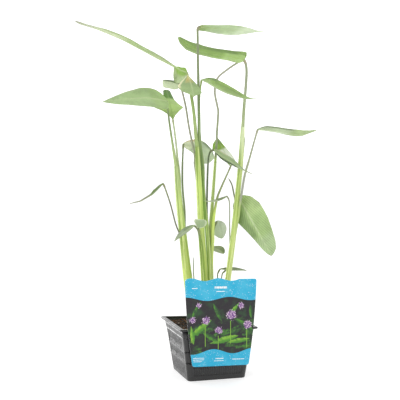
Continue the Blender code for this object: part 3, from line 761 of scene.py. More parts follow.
# root: the shoot a stalk leaves, with the height and the bearing in degrees where it comes out
# of the skin, or "top" for the shoot's own end, or a place in the soil. radii and stalk: its
# radius and color at foot and top, where change is the share of its length between the colors.
# pink: how much of the joint's color shows. route: its points, and tip the far end of its blade,
# which starts back before the stalk's end and is width across. roll turns it about its length
# and fold lifts its sides, in degrees. rolls, bend and sway: shares of the length, and the roll
# there or how far the midrib stands up or aside. bow: how far its middle does. outline: a share
# of the length, and how wide the blade is there left and right of the midrib; without one,
# broad is the share where it is broadest, and a lower full makes it rounder. upper and under:
# its faces' colors, under like upper where it isn't given. washes: colors laid over parts of
# it, as washed says. veins, slant and step: the veins' strength, slant and distance.
leaves = {
    "long": {
        "root": ("middle", 290, 85), "radii": (1.9, 1.2),
        "route": ((-19, -2, 334), (-22, -1, 366), (-26, 1, 395), (-31, 2, 425)), "tip": (-172, 103, 505),
        "width": 42, "fold": 6, "rolls": ((0, 0.07, 0.1, 0.3, 0.7, 1), (108, 106, 8, 4, 5, 12)),
        "bend": ((0, 0.1, 0.3, 0.57, 0.77, 0.93, 1), (0, 0, 1.8, 4.4, 3.2, -0.4, 0)),
        "outline": ((0, 3, 0.6), (0.012, 11, 3.5), (0.028, 17, 6.5), (0.045, 20, 5), (0.066, 20.5, 3),
            (0.078, 16, 3), (0.094, 5, 4), (0.16, 10, 8), (0.26, 17, 15), (0.36, 21, 20), (0.5, 21, 22),
            (0.68, 20, 21), (0.8, 18, 17), (0.88, 14, 13), (0.94, 9, 8.5), (0.985, 4, 4), (1, 1.4, 1.4)),
        "washes": ((tint(146, 186, 88), 0.9, -1, 0.15, -0.45, 2),
            (tint(196, 214, 170), 0.8, -1, 0.15, -2, -0.4), (tint(146, 182, 84), 0.6, 0.28, 0.6, -2, 2),
            (tint(216, 230, 182), 0.7, 0.54, 2, -0.8, 0.6), (oliveGreen, 0.5, 0.12, 2, 0.7, 2),
            (tint(176, 182, 156), 0.7, 0.78, 0.95, -2, 2), (tint(150, 146, 130), 0.8, 0.9, 2, -2, 2)),
        "upper": tint(178, 200, 128), "under": tint(202, 218, 160)},
    "hanging": {
        "root": ("middle", "top"), "radii": (2.3, 1.3), "stalk": (tint(152, 178, 98), green),
        "route": ((-21, -9, 334), (-24, -9, 366), (-27, -7, 392), (-32, -6, 419)), "tip": (-33, -38, 389),
        "width": 38, "roll": 0, "fold": -10, "bow": 4, "pink": 1.0, "back": 4.0,
        "outline": ((0, 0.8, 0.8), (0.16, 2.3, 4.2), (0.3, 4.6, 9.4), (0.41, 7, 14), (0.55, 10, 19),
            (0.66, 12, 18.3), (0.74, 12.9, 15.5), (0.82, 13.5, 11.5), (0.9, 8.4, 5), (0.96, 2, 1.5),
            (1, 0.3, 0.3)),
        "washes": ((tint(222, 204, 124), 0.5, -1, 0.5, -0.7, 0.6),
            (tint(226, 200, 118), 0.6, -1, 0.4, -0.4, 0.6),
            (tint(255, 253, 206), 1.0, -1, 0.68, 0.74, 2)),
        "upper": tint(166, 192, 132), "under": powderGreen, "veins": 0.24},
    "pale": {
        "root": ("middle", 300, 140), "radii": (1.2, 1.1),
        "stalk": (tint(140, 148, 118), tint(166, 164, 148)),
        "route": ((-28, 2, 348), (-32, 6, 379), (-36, 11, 401), (-38, 12, 410)), "tip": (-54, 48, 418),
        "width": 24, "roll": 45, "fold": -45, "bow": 2,
        "outline": ((0, 1.5, 1.5), (0.12, 9, 8), (0.3, 11, 11), (0.7, 11, 11), (0.9, 10.5, 10),
            (0.98, 8, 7), (1, 5, 4)),
        "washes": ((tint(66, 92, 40), 1.0, -1, 2, -0.2, 2), (tint(226, 236, 214), 0.35, 0.4, 2, 0.1, 2)),
        "upper": tint(190, 204, 164), "ribColor": tint(96, 118, 66)},
    "left": {
        "root": ("left", "top"), "radii": (1.7, 1.0), "stalk": (tint(178, 202, 124), tint(132, 150, 104)),
        "route": ((-48, 5, 306), (-55, 4, 348), (-60, 3, 385)), "tip": (-152, -7, 382), "width": 44,
        "roll": 40, "fold": 4, "pink": 0.5,
        "outline": ((0, 6, 6), (0.05, 19, 15), (0.12, 24, 20), (0.22, 24, 22), (0.4, 21.5, 20.5),
            (0.6, 17.5, 15.5), (0.8, 11, 8.5), (0.93, 4.5, 3.5), (1, 0.4, 0.4)),
        "bend": ((0, 0.15, 0.35, 0.65, 1), (0, 3.5, 6.5, 5, 0)), "veins": 0.16,
        "washes": ((tint(164, 192, 118), 0.6, -1, 0.3, -2, 2),
            (tint(150, 178, 118), 0.35, 0.06, 0.7, 0, 0.86), (tint(200, 214, 178), 0.5, 0.4, 2, 0.8, 2)),
        "upper": upperGreen, "under": powderGreen},
    "bright": {
        "root": ("left", 276, 40), "radii": (1.7, 1.0),
        "stalk": (tint(186, 210, 128), tint(196, 204, 172)),
        "route": ((-43, 8, 303), (-46, 9, 334), (-49, 12, 361)), "tip": (-42, 75, 406), "width": 43,
        "roll": 0, "fold": -8, "bow": 3,
        "outline": ((0, 0.8, 0.8), (0.12, 4.6, 4.8), (0.27, 13, 12.5), (0.385, 22.5, 19.5),
            (0.43, 20, 16), (0.5, 14.5, 12), (0.6, 10, 8.3), (0.78, 6.6, 6.3), (0.97, 5.2, 5.4),
            (1, 3.5, 3.5)),
        # painted shade: the dark green laid over the narrow neck, from 0.6 of the length to the tip, stands
        # in for the shade on its downward-facing surface
        "washes": ((tint(84, 134, 0), 1.0, 0.6, 2, -2, 2),), "veins": 0.2,
        "ribColor": tint(150, 184, 100), "upper": freshGreen},
    "top": {
        "root": ("back", "top"), "radii": (2.0, 1.2), "stalk": (tint(116, 146, 80), tint(136, 146, 112)),
        "route": ((-15, -4, 330), (-17, -10, 355), (-18, -11, 393), (-19, -11, 442), (-19, -10, 472),
            (-19, -10, 484), (-16, -10, 488)),
        "tip": (84, 6, 487), "width": 34, "roll": 14, "fold": -4, "bow": -1, "pink": 0.25,
        "outline": ((0, 10, 6), (0.03, 12, 9), (0.15, 13, 12.5), (0.35, 17.5, 20), (0.5, 18, 18.5),
            (0.62, 16.5, 15), (0.74, 12, 10.5), (0.84, 7, 5), (0.91, 3, 2.4), (0.95, 1.6, 1.4),
            (1, 1, 1)),
        "washes": ((tint(128, 156, 74), 0.6, -1, 0.2, -2, 0.4),
            (tint(168, 172, 104), 0.5, -1, 0.08, -2, 2), (tint(214, 226, 198), 0.7, 0.55, 0.95, -2, 2),
            (tint(218, 230, 204), 0.8, 0.1, 2, -2, -0.7), (tint(180, 190, 160), 0.6, 0.9, 2, -2, 2)),
        "upper": tint(188, 212, 158), "under": tint(198, 219, 172)},
    "upper": {
        "root": ("right", "top"), "radii": (2.0, 1.4),
        "stalk": (tint(176, 192, 140), tint(156, 164, 136)),
        "route": ((48, -14, 381), (50, -15, 408), (51, -15, 427), (50, -14, 438), (47, -14, 444)),
        "tip": (-37, 27, 477), "width": 36, "roll": 31, "fold": 4, "pink": 0.4,
        "bend": ((0, 0.24, 0.41, 0.65, 0.83, 0.93, 1), (0, -3.7, -6.8, -9.5, -8.8, -5, 0)),
        "outline": ((0, 8, 12), (0.03, 16, 23), (0.09, 17, 23), (0.2, 14, 19), (0.5, 13.5, 15.5),
            (0.7, 14.5, 17), (0.82, 13.5, 15), (0.93, 9, 10), (0.98, 5, 5.5), (1, 1, 1)),
        "washes": ((tint(184, 216, 132), 0.85, -1, 0.34, -2, 0.6),
            (tint(190, 212, 150), 0.5, -1, 2, -2, -0.62), (deepGreen, 0.35, 0.1, 2, 0.4, 2)),
        "upper": tint(140, 174, 82), "ribColor": tint(166, 196, 104)},
    "slanting": {
        "root": ("back", 288, 30), "radii": (1.2, 0.9),
        "route": ((-11, 2, 326), (-13.5, 2, 366), (-13, 0, 395), (-11.5, -3, 415)), "tip": (50, -58, 387),
        "width": 32, "roll": -20, "fold": 4,
        "outline": ((0, 1.5, 1.5), (0.06, 9, 8), (0.15, 12, 13), (0.36, 12, 15.5), (0.55, 9.5, 14.5),
            (0.7, 6.5, 11), (0.82, 4, 7), (0.92, 2, 3.5), (1, 0.8, 0.8)),
        "bend": ((0, 0.08, 0.18, 0.4, 0.62, 0.83, 0.93, 1), (0, 2.4, 3, 0.2, -2.0, -3.8, -2.4, 0)),
        "washes": ((paleGreen, 0.45, -1, 2, 0.6, 2), (deepGreen, 0.6, -1, 0.3, -2, -0.3),
            (deepGreen, 0.25, 0.2, 0.8, -0.5, 0.3)),
        "upper": tint(156, 188, 104), "under": tint(172, 200, 124), "ribColor": tint(166, 192, 116)},
    "right": {
        "root": ("right", 226, -60), "radii": (1.6, 1.0),
        "stalk": (tint(184, 206, 112), tint(162, 164, 150)), "change": (0.3, 0.45),
        "route": ((43, -19, 258), (46, -22, 281), (52, -25, 305), (59, -29, 334), (62, -31, 346)),
        "tip": (150, -34, 345), "width": 34, "fold": 6, "rolls": ((0, 0.4, 0.75, 1), (11, 11, 15, 15)),
        "bend": ((0, 0.1, 0.2, 0.37, 0.54, 0.71, 0.81, 0.915, 1),
            (0, 0.8, 0, -2.2, -4.6, -6.2, -5.6, -2.4, 0)),
        "outline": ((0, 3, 3), (0.05, 13, 10), (0.12, 19, 14), (0.3, 20, 17), (0.6, 17, 16),
            (0.8, 14, 13), (0.93, 8, 7), (1, 0.3, 0.3)),
        "washes": ((tint(158, 184, 112), 0.7, 0.5, 2, -2, 2),
            (tint(206, 218, 192), 0.7, -1, 0.5, -2, -0.1), (tint(92, 116, 62), 0.8, -1, 0.6, 0.6, 2)),
        "upper": upperGreen, "under": tint(180, 198, 156)},
    "back": {
        "root": ("left", 176, 62), "radii": (1.4, 1.0),
        "stalk": (tint(150, 166, 122), tint(118, 132, 94)),
        "route": ((-31, 15, 229), (-33, 18, 261), (-33, 20, 289), (-31, 22, 326)), "tip": (19, 41, 303),
        "width": 40, "roll": 40, "fold": -4, "bow": 3,
        "outline": ((0, 1, 3), (0.02, 2.5, 7.5), (0.09, 4, 13), (0.2, 6, 18), (0.37, 7, 19.5),
            (0.5, 8.5, 18.7), (0.71, 12.6, 15), (0.81, 13.3, 12), (0.89, 13.4, 9), (0.96, 10.5, 6),
            (0.99, 7, 3.5), (1, 3, 1)),
        "washes": ((tint(226, 232, 198), 0.8, -1, 0.34, -2, 2), (rust, 0.6, -1, 0.3, 0.6, 2),
            (deepGreen, 0.7, 0.35, 0.95, 0.76, 2)),
        "upper": tint(182, 202, 164), "under": powder},
    "drooping": {
        "root": ("back", 178, 60), "radii": (1.4, 1.0), "stalk": (tint(84, 100, 70), tint(96, 112, 78)),
        "route": ((-1, 5, 225), (-1, 4, 261), (0, 4, 292), (1, 3, 308), (4, 2, 316), (8, 0, 317)),
        "tip": (49, -46, 284), "width": 19, "roll": 58, "fold": 6,
        "sway": ((0, 0.25, 0.5, 0.75, 1), (0, -1.6, -0.8, -2.2, 0)),
        "outline": ((0, 1.0, 1.0), (0.06, 4.0, 4), (0.18, 7.0, 6.4), (0.35, 7.2, 6.2), (0.55, 5.8, 5.2),
            (0.7, 3, 2.8), (0.8, 1.2, 1), (1, 0.2, 0.2)),
        # painted shade: the dark wash along the blade's lower side stands in for the shadow under it
        "washes": ((tint(70, 92, 56), 0.95, 0.03, 0.66, -2, -0.4), (parchment, 0.5, -1, 0.4, 0.75, 2)),
        "upper": tint(158, 180, 132)},
    "inner": {
        "root": ("inner", 190, -75), "radii": (2.5, 0.7),
        "stalk": (tint(214, 234, 122), tint(120, 128, 100)), "change": (0.5, 0.72),
        "route": ((8, 1, 222), (10.5, 1.5, 237), (14.5, 3, 252), (22, 6, 267), (30, 10, 281),
            (38, 14, 295)),
        "tip": (25, 39, 336), "width": 24, "roll": 48, "fold": 6, "bow": 2,
        "outline": ((0, 1.3, 1.3), (0.1, 3, 9), (0.3, 5, 8), (0.54, 11, 5.2), (0.68, 14.8, 3.4),
            (0.85, 10.2, 1.8), (1, 0.3, 0.3)),
        "washes": ((tint(240, 244, 230), 0.95, -1, 0.62, -0.6, 2), (deepGreen, 0.6, 0.72, 2, -0.3, 2)),
        "upper": tint(146, 182, 74)},
    "broad": {
        "root": ("right", 214, 73), "radii": (1.3, 1.1),
        "route": ((41, -4, 239), (44, -1, 247), (46, 4, 250)), "tip": (81, -37, 169), "width": 38,
        "roll": -66, "fold": 4, "bow": 2,
        "outline": ((0, 4, 4), (0.03, 9, 8), (0.09, 16, 13.5), (0.24, 22.4, 18.6), (0.36, 22.8, 18),
            (0.5, 22.4, 14.2), (0.68, 19.2, 10), (0.84, 15.6, 7), (0.94, 11, 4.2), (0.985, 5, 1.6),
            (1, 0.3, 0.3)),
        "washes": ((deepGreen, 0.45, -1, 0.7, 0.25, 2), (tint(182, 200, 164), 0.4, 0.66, 2, -2, 2),
            (tint(190, 212, 146), 0.5, -1, 0.4, -2, 0.1)),
        "upper": tint(166, 194, 126), "under": powderGreen, "veins": 0.24,
        "ribColor": tint(218, 232, 184), "slant": 2.9, "step": 8.5},
    "curled": {
        "root": ("left", 186, 215), "radii": (0.9, 0.8),
        "stalk": (tint(176, 200, 110), tint(112, 114, 92)), "change": (0.35, 0.5),
        "route": ((-48, 1, 214), (-55, 2, 241), (-63, 3, 265), (-66, 3, 271)), "tip": (-115, -8, 244),
        "width": 11, "roll": 0, "fold": 25, "bend": ((0, 0.2, 0.39, 0.73, 1), (0, -3.2, -5.6, -5.2, 0)),
        "outline": ((0, 0.8, 0.8), (0.1, 4, 4), (0.28, 5.2, 5.2), (0.42, 2.8, 2.8), (0.7, 2, 2),
            (0.9, 1.4, 1.4), (1, 0.8, 0.8)),
        "washes": ((tint(150, 152, 124), 0.8, 0.4, 2, -2, 2),), "upper": oliveGreen},
    "front": {
        "root": ("middle", 180, 220), "radii": (0.8, 0.8), "stalk": (tint(134, 166, 62), dim),
        "change": (0.75, 0.95), "route": ((-21, -17, 206), (-27, -20, 213)), "tip": (-57, -25, 192),
        "width": 12, "roll": 20, "fold": 10, "bow": 2, "broad": 0.4,
        "washes": ((deepGreen, 0.5, -1, 0.5, -0.2, 2),), "upper": tint(166, 182, 148)},
    "round": {
        "root": ("middle", 172, 255), "radii": (0.8, 0.8), "stalk": (tint(134, 166, 62), dim),
        "change": (0.75, 0.95), "route": ((-19, -19, 200), (-21, -20, 209)), "tip": (-25, -46, 223),
        "width": 18, "roll": 0, "fold": 5, "bow": 2,
        "outline": ((0, 3.5, 1), (0.06, 8, 2), (0.13, 10, 2.8), (0.3, 10.9, 4.8), (0.54, 10.5, 7.4),
            (0.78, 7.6, 8.3), (0.9, 5.4, 7.6), (0.97, 3.2, 6.4), (1, 1, 3)),
        "washes": ((paleGreen, 0.9, -1, 2, 0.7, 2), (paleGreen, 0.9, -1, 2, -2, -0.7),
            (paleGreen, 0.9, 0.85, 2, -2, 2), (paleGreen, 0.9, -1, 0.12, -2, 2)),
        "upper": tint(162, 182, 140), "ribColor": tint(162, 182, 140)},
    "oval": {
        "root": ("inner", 172, 45), "radii": (0.8, 0.7), "stalk": (dim, dim),
        "route": ((14, 16, 206), (18, 17, 215)), "tip": (29, 27, 189), "width": 22, "roll": 40, "fold": 5,
        "bow": 3, "broad": 0.5, "full": 0.6, "washes": ((tint(214, 224, 204), 0.8, 0.2, 2, 0.3, 2),),
        "upper": tint(196, 210, 182), "ribColor": tint(200, 212, 186)},
    "low": {
        "root": ("inner", 150, 75), "radii": (0.7, 0.6), "stalk": (dim, dim),
        "route": ((9, 15, 170), (9, 15, 178)), "tip": (30, 23, 167), "width": 20, "roll": 20, "fold": 5,
        "bow": 2, "broad": 0.5, "full": 0.6, "washes": ((deepGreen, 0.4, 0.5, 2, 0.2, 2),),
        "upper": tint(160, 176, 128)},
    "thin": {
        "root": ("right", 164, 100), "radii": (0.8, 0.6),
        "stalk": (tint(156, 166, 130), tint(150, 158, 130)),
        "route": ((31, -1, 207), (31, -1, 232), (30, -1, 246), (27, 0, 252)), "tip": (-12, -15, 247),
        "width": 7, "roll": 0, "fold": 25, "bow": -4, "broad": 0.4,
        "washes": ((tint(206, 216, 188), 0.8, 0.4, 2, -2, 2),), "upper": tint(132, 150, 104)},
    "foot": {
        "root": ("soil", (14, 1)), "radii": (0.8, 0.7), "stalk": (tint(92, 100, 76), dim),
        "route": ((14, 2, 135), (15, 2, 143), (18, 2, 148)), "tip": (59, 3, 144), "width": 13, "roll": 25,
        "fold": 10, "broad": 0.45, "upper": tint(140, 156, 120)},
    "young": {
        "root": ("soil", (18, 10)), "radii": (0.8, 0.7), "stalk": (tint(92, 100, 76), dim),
        "route": ((22, 8, 134), (25, 8, 142), (29, 8, 145)), "tip": (46, 24, 142), "width": 9, "roll": 0,
        "fold": 10, "bow": 1, "broad": 0.45, "upper": tint(140, 156, 120)},
}
spikes = {
    "kinked_stalk": {
        "root": ("inner", "top"), "radii": (1.3, 1.1),
        "stalk": (tint(134, 144, 114), tint(186, 182, 168)),
        "route": ((14, 6, 339), (16, 6, 370), (15, 6, 378), (11, 6, 399), (14, 4, 418), (28, 0, 431),
            (45, -8, 443))},
    "spear": {
        "root": ("soil", (-17, -8)), "radii": (1.1, 0.5), "stalk": (green, dim),
        "route": ((-18, -7, 100), (-23, -4, 139), (-23, -4, 168))},
    "tendril": {
        "root": ("right", 232, 100), "radii": (1.3, 0.7), "stalk": (dim, brown),
        "route": ((35, -6, 258), (32, -7, 269), (26, -10, 278))},
    "sheath_tip": {
        "root": ("right", 290, 35), "radii": (1.0, 0.4), "stalk": (green, dim),
        "route": ((49, -11, 321), (50, -12, 336))},
}


def leafPattern():
    # powdery or green faces, fine slanting veins, a pale midrib and a thin brown margin: the
    # face's or the wash's color, times patches plus veins, with the rib and the margin over it
    group, takes, gives = newGroup("leaf pattern",
                                   {"Upper": (0.2, 0.4, 0.1, 1.0), "Under": (0.4, 0.5, 0.4, 1.0),
                                    "Rib": (0.6, 0.7, 0.4, 1.0), "Veins": 0.1},
                                   {"Color": "Color", "Height": "Float"})
    place = objectPlace(group)
    faces = mixColor(group, attribute(group, "upper"), takes["Under"], takes["Upper"])
    faces = mixColor(group, attribute(group, "amount"), faces, attribute(group, "wash", "Color"))
    patches = ramp(group, noise(group, place, 45.0, 4.0, 0.6), 0.3, 0.7, 0.86, 1.12)
    vein = calc(group, "COSINE", times(group, attribute(group, "vein"), 2 * pi))
    wander = times(group, noise(group, place, 220.0, 2.0), takes["Veins"])
    color = lit(group, faces, calc(group, "MULTIPLY_ADD", vein, wander, patches))
    color = mixColor(group, times(group, attribute(group, "rib"), 0.8), color, takes["Rib"])
    margin = times(group, attribute(group, "margin"), 0.35)
    group.links.new(mixColor(group, margin, color, blade["marginColor"]), gives["Color"])
    grain = noise(group, place, 900.0, 2.0)
    group.links.new(calc(group, "MULTIPLY_ADD", vein, 0.5, grain), gives["Height"])
    return group


leafFaces = leafPattern()


def between(place, low, high, soft):
    # a share that rises from 0 at low over a soft stretch and falls to 0 at high
    return np.clip((place - low) / soft, 0, 1) * np.clip((high - place) / soft, 0, 1)


def washed(leaf, u, v):
    # each wash is a color laid over a part of the leaf, with a strength, from one share of its
    # length u to another and from one share of its width v to another, with soft edges; a
    # bound past the leaf's own, 0 to 1 along and -1 to 1 across, leaves it open on that side
    color, amount = np.zeros((len(u), len(v), 3)), np.zeros((len(u), len(v)))
    for shade, strength, uFrom, uTo, vFrom, vTo in leaf.get("washes", ()):
        share = strength * between(u, uFrom, uTo, blade["washSoft"][0])[:, None]
        share = share * between(v, vFrom, vTo, blade["washSoft"][1])[None]
        color = color * (1 - share)[..., None] + np.array(shade[:3]) * share[..., None]
        amount = amount * (1 - share) + share
    return color / np.maximum(amount, 1e-6)[..., None], amount


def midrib(leaf):
    # points at u from 0 at the stalk to 1 at the tip, closer together at both ends, on the
    # straight line between them plus up * bend + across * sway, where across and up are turned
    # round the line by the roll
    end, tip = np.array(leaf["route"][-1], float), np.array(leaf["tip"], float)
    length = np.linalg.norm(tip - end)
    ahead = (tip - end) / length
    begin = end - ahead * leaf.get("back", 1.0)
    across = unit(np.cross(ahead, (0.0, 0.0, 1.0)))
    up = np.cross(across, ahead)
    t = np.linspace(0, 1, int(max(length / blade["row"], blade["fewestRows"])) + 1)
    u = 0.5 * t + 0.25 * (1 - np.cos(pi * t))
    roll = eased(u, leaf["rolls"]) if "rolls" in leaf else np.full(len(u), leaf["roll"])
    roll = np.radians(roll)[:, None]
    acrossAt = across * np.cos(roll) + up * np.sin(roll)
    upAt = up * np.cos(roll) - across * np.sin(roll)
    bend = eased(u, leaf["bend"]) if "bend" in leaf else leaf.get("bow", 0.0) * 4 * u * (1 - u)
    rib = begin + (tip - begin) * u[:, None] + upAt * bend[:, None]
    if "sway" in leaf:
        rib = rib + acrossAt * eased(u, leaf["sway"])[:, None]
    return u, length, rib, acrossAt, upAt


def halfWidths(leaf, u, v):
    # the outline's own on each side, or half the width * sin(pi * u to a power) to the 0.8,
    # never less than a strip that narrows from baseHalf to tipHalf
    if "outline" in leaf:
        places, left, right = zip(*leaf["outline"])
        left, right = eased(u, (places, left)), eased(u, (places, right))
    else:
        swell = np.maximum(np.sin(pi * u ** (log(0.5) / log(leaf["broad"]))), 0) ** leaf.get("full", 0.8)
        strip = blade["baseHalf"] + (blade["tipHalf"] - blade["baseHalf"]) * u
        left = right = np.maximum(leaf["width"] / 2 * swell, strip)
    return np.where(v > 0, right[:, None], left[:, None])


def leafMaterial(name, leaf):
    # the leaf pattern in the leaf's own colors
    material, tree, shader = newMaterial(name + "Leaf", Roughness=0.5)
    pattern = useGroup(tree, leafFaces, Upper=leaf["upper"], Under=leaf.get("under", leaf["upper"]),
                       Rib=leaf.get("ribColor", blade["ribColor"]), Veins=leaf.get("veins", blade["veins"]))
    paint(tree, shader, pattern["Color"])
    addBump(tree, shader, pattern["Height"], 0.00015)
    return material


def bladeRise(leaf, u, v, length, half):
    # how far up from the midrib a point is: |v| to foldPower * half * sin fold, plus a wave along
    # the edges, the veins' ripples and a groove over the midrib; and how many veins along it is
    edge, off = np.abs(v), v * half
    swell = np.minimum(half / (leaf["width"] / 2), 1.0)
    wave = blade["wave"] * np.sin(u * length / blade["waveLength"] + leaf["width"])[:, None]
    wave = wave * edge ** blade["wavePower"] * np.where(v > 0, 1.0, blade["waveLeft"]) * swell
    fromEdge, fromRib = (1 - edge) * half, np.abs(off)
    vein = u[:, None] * length - leaf.get("slant", blade["veinSlant"]) * fromRib
    vein = vein / leaf.get("step", blade["veinStep"])
    clear = blade["veinClear"]
    inside = np.clip(fromEdge / clear[0], 0, 1) * np.clip(fromRib / clear[1], 0, 1)
    relief = blade["veinDepth"] * np.cos(2 * pi * vein) * inside
    valley = blade["groove"] * np.exp(-(off / blade["ribWidth"]) ** 2) * swell
    lift = edge ** blade["foldPower"] * half * np.sin(radians(leaf["fold"]))
    return lift + wave + relief - valley, vein


def makeBlade(name, leaf):
    # a point is the midrib at u, plus across * half * v * cos fold and up * its rise. The upper
    # sheet is half the thickness above that, the lower one below, with a ridge there
    u, length, rib, acrossAt, upAt = midrib(leaf)
    columns = blade["columns"] if leaf["width"] > blade["narrow"] else blade["narrowColumns"]
    v = np.sin(np.linspace(-1, 1, columns + 1) * pi / 2)[None]
    edge = np.abs(v)
    half = halfWidths(leaf, u, v)
    off = v * half
    rise, vein = bladeRise(leaf, u, v, length, half)
    sheet = rib[:, None] + upAt[:, None] * rise[..., None]
    sheet = sheet + acrossAt[:, None] * (off * np.cos(radians(leaf["fold"])))[..., None]
    normal = sheetNormals(sheet)
    inner = 1 - edge ** blade["thinPower"]
    thin = blade["rim"] + (blade["thick"] - blade["rim"]) * inner * np.ones_like(off)
    ridge = leaf["radii"][1] * blade["ridge"] * (1 - u)[:, None] ** blade["ridgePower"]
    ridge = ridge * np.exp(-(off / (blade["ribWidth"] * blade["ridgeWidth"])) ** 2)
    lower = sheet - normal * (thin / 2 + ridge)[..., None]
    points, faces = shell(sheet + normal * (thin / 2)[..., None], lower)

    ribMask = np.exp(-(off / (blade["ribWidth"] * blade["ribShown"])) ** 2)
    ribMask = ribMask * (1 - blade["ribFade"] * u)[:, None]
    margin = np.clip(1 - (1 - edge) * half / blade["marginWidth"], 0, 1)
    wash, amount = washed(leaf, u, v[0])
    masks = {"vein": vein, "rib": ribMask, "margin": margin, "amount": amount}
    values = {"upper": np.repeat([1.0, 0.0], off.size),
              **{key: np.tile(mask.ravel(), 2) for key, mask in masks.items()},
              "wash": np.tile(wash.reshape(-1, 3), (2, 1))}
    addPiece(name + "_blade", points, faces, leafMaterial(name, leaf), [name + "_blade"], values)


# The label: a printed card in front of the pot, and the hook behind it over the rim

label = {
    "thick": 0.7, "lean": 4.0, "turn": -1.6, "slant": 2.7, "top": 70.0, "bottom": -51.0,
    "topHalf": 51.0, "bottomHalf": 40.5, "bulge": 1.9, "corner": 3.0, "y": -57.0, "columns": 100,
    "rows": 60, "crest": 1.9, "crestDrop": 0.6, "crestLength": 38.0, "crestStart": -42.0,
    "crestFrom": 40.0, "level": 28.0, "levelSoft": 5.0, "bend": 0.25, "bendLengths": (17.0, 23.0),
    "hookWidth": 30.0, "hookDepth": 24.0, "hookGap": 0.8, "hookEnd": 0.6,
    # how far behind the card's place, then behind the wall's inside, and how far over the rim
    "hookFront": ((-0.5, 14.0), (1.0, 2.0), (3.0, 0.0)), "hookBack": ((-1.0, 0.0), (0.4, -1.4)),
    "blue": tint(14, 176, 216), "paleBlue": tint(100, 204, 232), "night": tint(26, 20, 28),
    "leafGreen": tint(74, 140, 34), "deepGreen": tint(32, 66, 34), "lime": tint(134, 188, 56),
    "violet": tint(122, 74, 142), "pink": tint(240, 216, 232), "white": tint(244, 247, 248),
    # the upper and lower bands' edges: the height, the wave's, its length and its start
    "upperEdge": (42.8, 2.6, 62.0, 0.6), "lowerEdge": (-30.5, 3.4, 58.0, 2.6),
    # across and up from the rim's front, then half the length and width, and the turn in degrees
    "leaves": ((-36, 27, 15, 3.6, 64), (-29, 2, 20, 4.2, 38), (-6, 24, 15, 3.2, 118), (6, -14, 22, 4.5, 14),
               (33, 6, 19, 4.4, -32), (26, -16, 17, 3.6, 8), (-14, -10, 16, 3.8, 150), (16, 26, 14, 3.0, 52),
               (42, 24, 10, 3.0, 98), (-40, -8, 12, 3.4, 100)),
    # the same place, then the length
    "stems": ((-22, -3, 30), (14, 2, 34), (38, -8, 26), (-3, -12, 20), (-42, 0, 24)),
    # then the radius
    "heads": ((-22, 13, 7.0), (14, 20, 8.5), (38, 6, 7.0), (-3, -1, 6.5), (-41, 14, 5.5), (27, 33, 5.5),
              (-33, 34, 4.5)),
    # then half the length and width, and how long the strokes in a bar are
    "bars": ((-3, 58.5, 9.0, 1.7, 1.3), (-3, 53.0, 6.0, 0.7, 0.8), (-40, 57.5, 4.0, 0.6, 0.9),
             (-30, -39.0, 8.0, 0.45, 0.7), (-30, -41.4, 8.0, 0.45, 0.7), (-31, -43.8, 6.0, 0.45, 0.7),
             (0, -40.4, 6.0, 0.8, 0.9), (-1, -43.6, 7.0, 0.45, 0.7), (27, -42.2, 9.0, 0.6, 1.6)),
}


def onCard(across, up, out):
    # from the card's own plane to the object: leaning back, turned and hung in front of the rim
    lean, turn = radians(90 + label["lean"]), radians(label["turn"])
    x = across * np.cos(turn) - up * np.sin(turn)
    y = across * np.sin(turn) + up * np.cos(turn)
    return np.stack([x, label["y"] + y * np.cos(lean) - out * np.sin(lean),
                     pot["height"] + y * np.sin(lean) + out * np.cos(lean)], -1)


def makeCard():
    # rows up the card, half as wide as a straight taper plus a bulge; near an end the rows draw
    # in by a quarter circle for the round corners. Its upper part follows the wavy top edge, a
    # cosine that goes over into a level stretch on the right, and all of it bends a little
    bottom, top, corner = label["bottom"], label["top"], label["corner"]
    up = bottom + (top - bottom) * (1 - np.cos(np.linspace(0, pi, label["rows"]))) / 2
    share = (up - bottom) / (top - bottom)
    half = label["bottomHalf"] + (label["topHalf"] - label["bottomHalf"]) * share
    half = half + label["bulge"] * 4 * share * (1 - share)
    short = np.clip(corner - np.minimum(up - bottom, top - up), 0, corner)
    half = half - (corner - np.sqrt(np.maximum(corner**2 - short**2, 0)))
    across = np.linspace(-1, 1, label["columns"])[None] * half[:, None]
    turn = (across - label["crestStart"]) * 2 * pi / label["crestLength"]
    crest = top - label["crestDrop"] + label["crest"] * np.cos(turn)
    level = np.clip((across - label["level"]) / label["levelSoft"] + 1, 0, 1)
    crest = crest + (top - crest) * softly(level)
    share = np.clip((up - label["crestFrom"]) / (top - label["crestFrom"]), 0, 1)
    rise = up[:, None] + (crest - top) * share[:, None]
    leaned = across - rise * np.tan(radians(label["slant"]))
    bend = label["bend"] * np.sin(across / label["bendLengths"][0]) * np.sin(rise / label["bendLengths"][1])
    # the grid's rows go up and its columns to the right, so its front is seen from -Y
    points, faces = shell(onCard(leaned, rise, label["thick"] / 2 + bend),
                          onCard(leaned, rise, -label["thick"] / 2 + bend))
    values = {"upper": np.repeat([1.0, 0.0], across.size), "across": np.tile(leaned.ravel(), 2),
              "rise": np.tile(rise.ravel(), 2)}
    addPiece("label_card", points, faces, printMaterial(), ["label"], values, sharp=40)


def makeHook():
    # a strip along a path from the card's back over the rim and down inside the pot's wall
    over = pot["height"] + label["hookGap"]
    end = pot["height"] - label["hookDepth"]
    room = pot["wall"] + label["hookGap"]
    inside = room - potHalf(pot["height"])
    corners = [(0, label["y"] + back, over + rise) for back, rise in label["hookFront"]]
    corners += [(0, inside + back, over + rise) for back, rise in label["hookBack"]]
    corners.append((0, room - potHalf(end) + label["hookEnd"], end))
    path = smoothRoute(corners, 8)[:, None]
    ahead = unit(np.gradient(path, axis=0))
    out = np.cross(ahead, (1.0, 0.0, 0.0)) * label["thick"] / 2
    x = np.linspace(-1, 1, 13)[None, :, None] * (label["hookWidth"] / 2, 0, 0)
    points, faces = shell(path + x - out, path + x + out)
    plain, tree, shader = newMaterial("plainCard", Roughness=0.4)
    paint(tree, shader, mottled(tree, label["white"], 0.02, 0.06))
    addPiece("label_hook", points, faces, plain, ["label"], sharp=40)


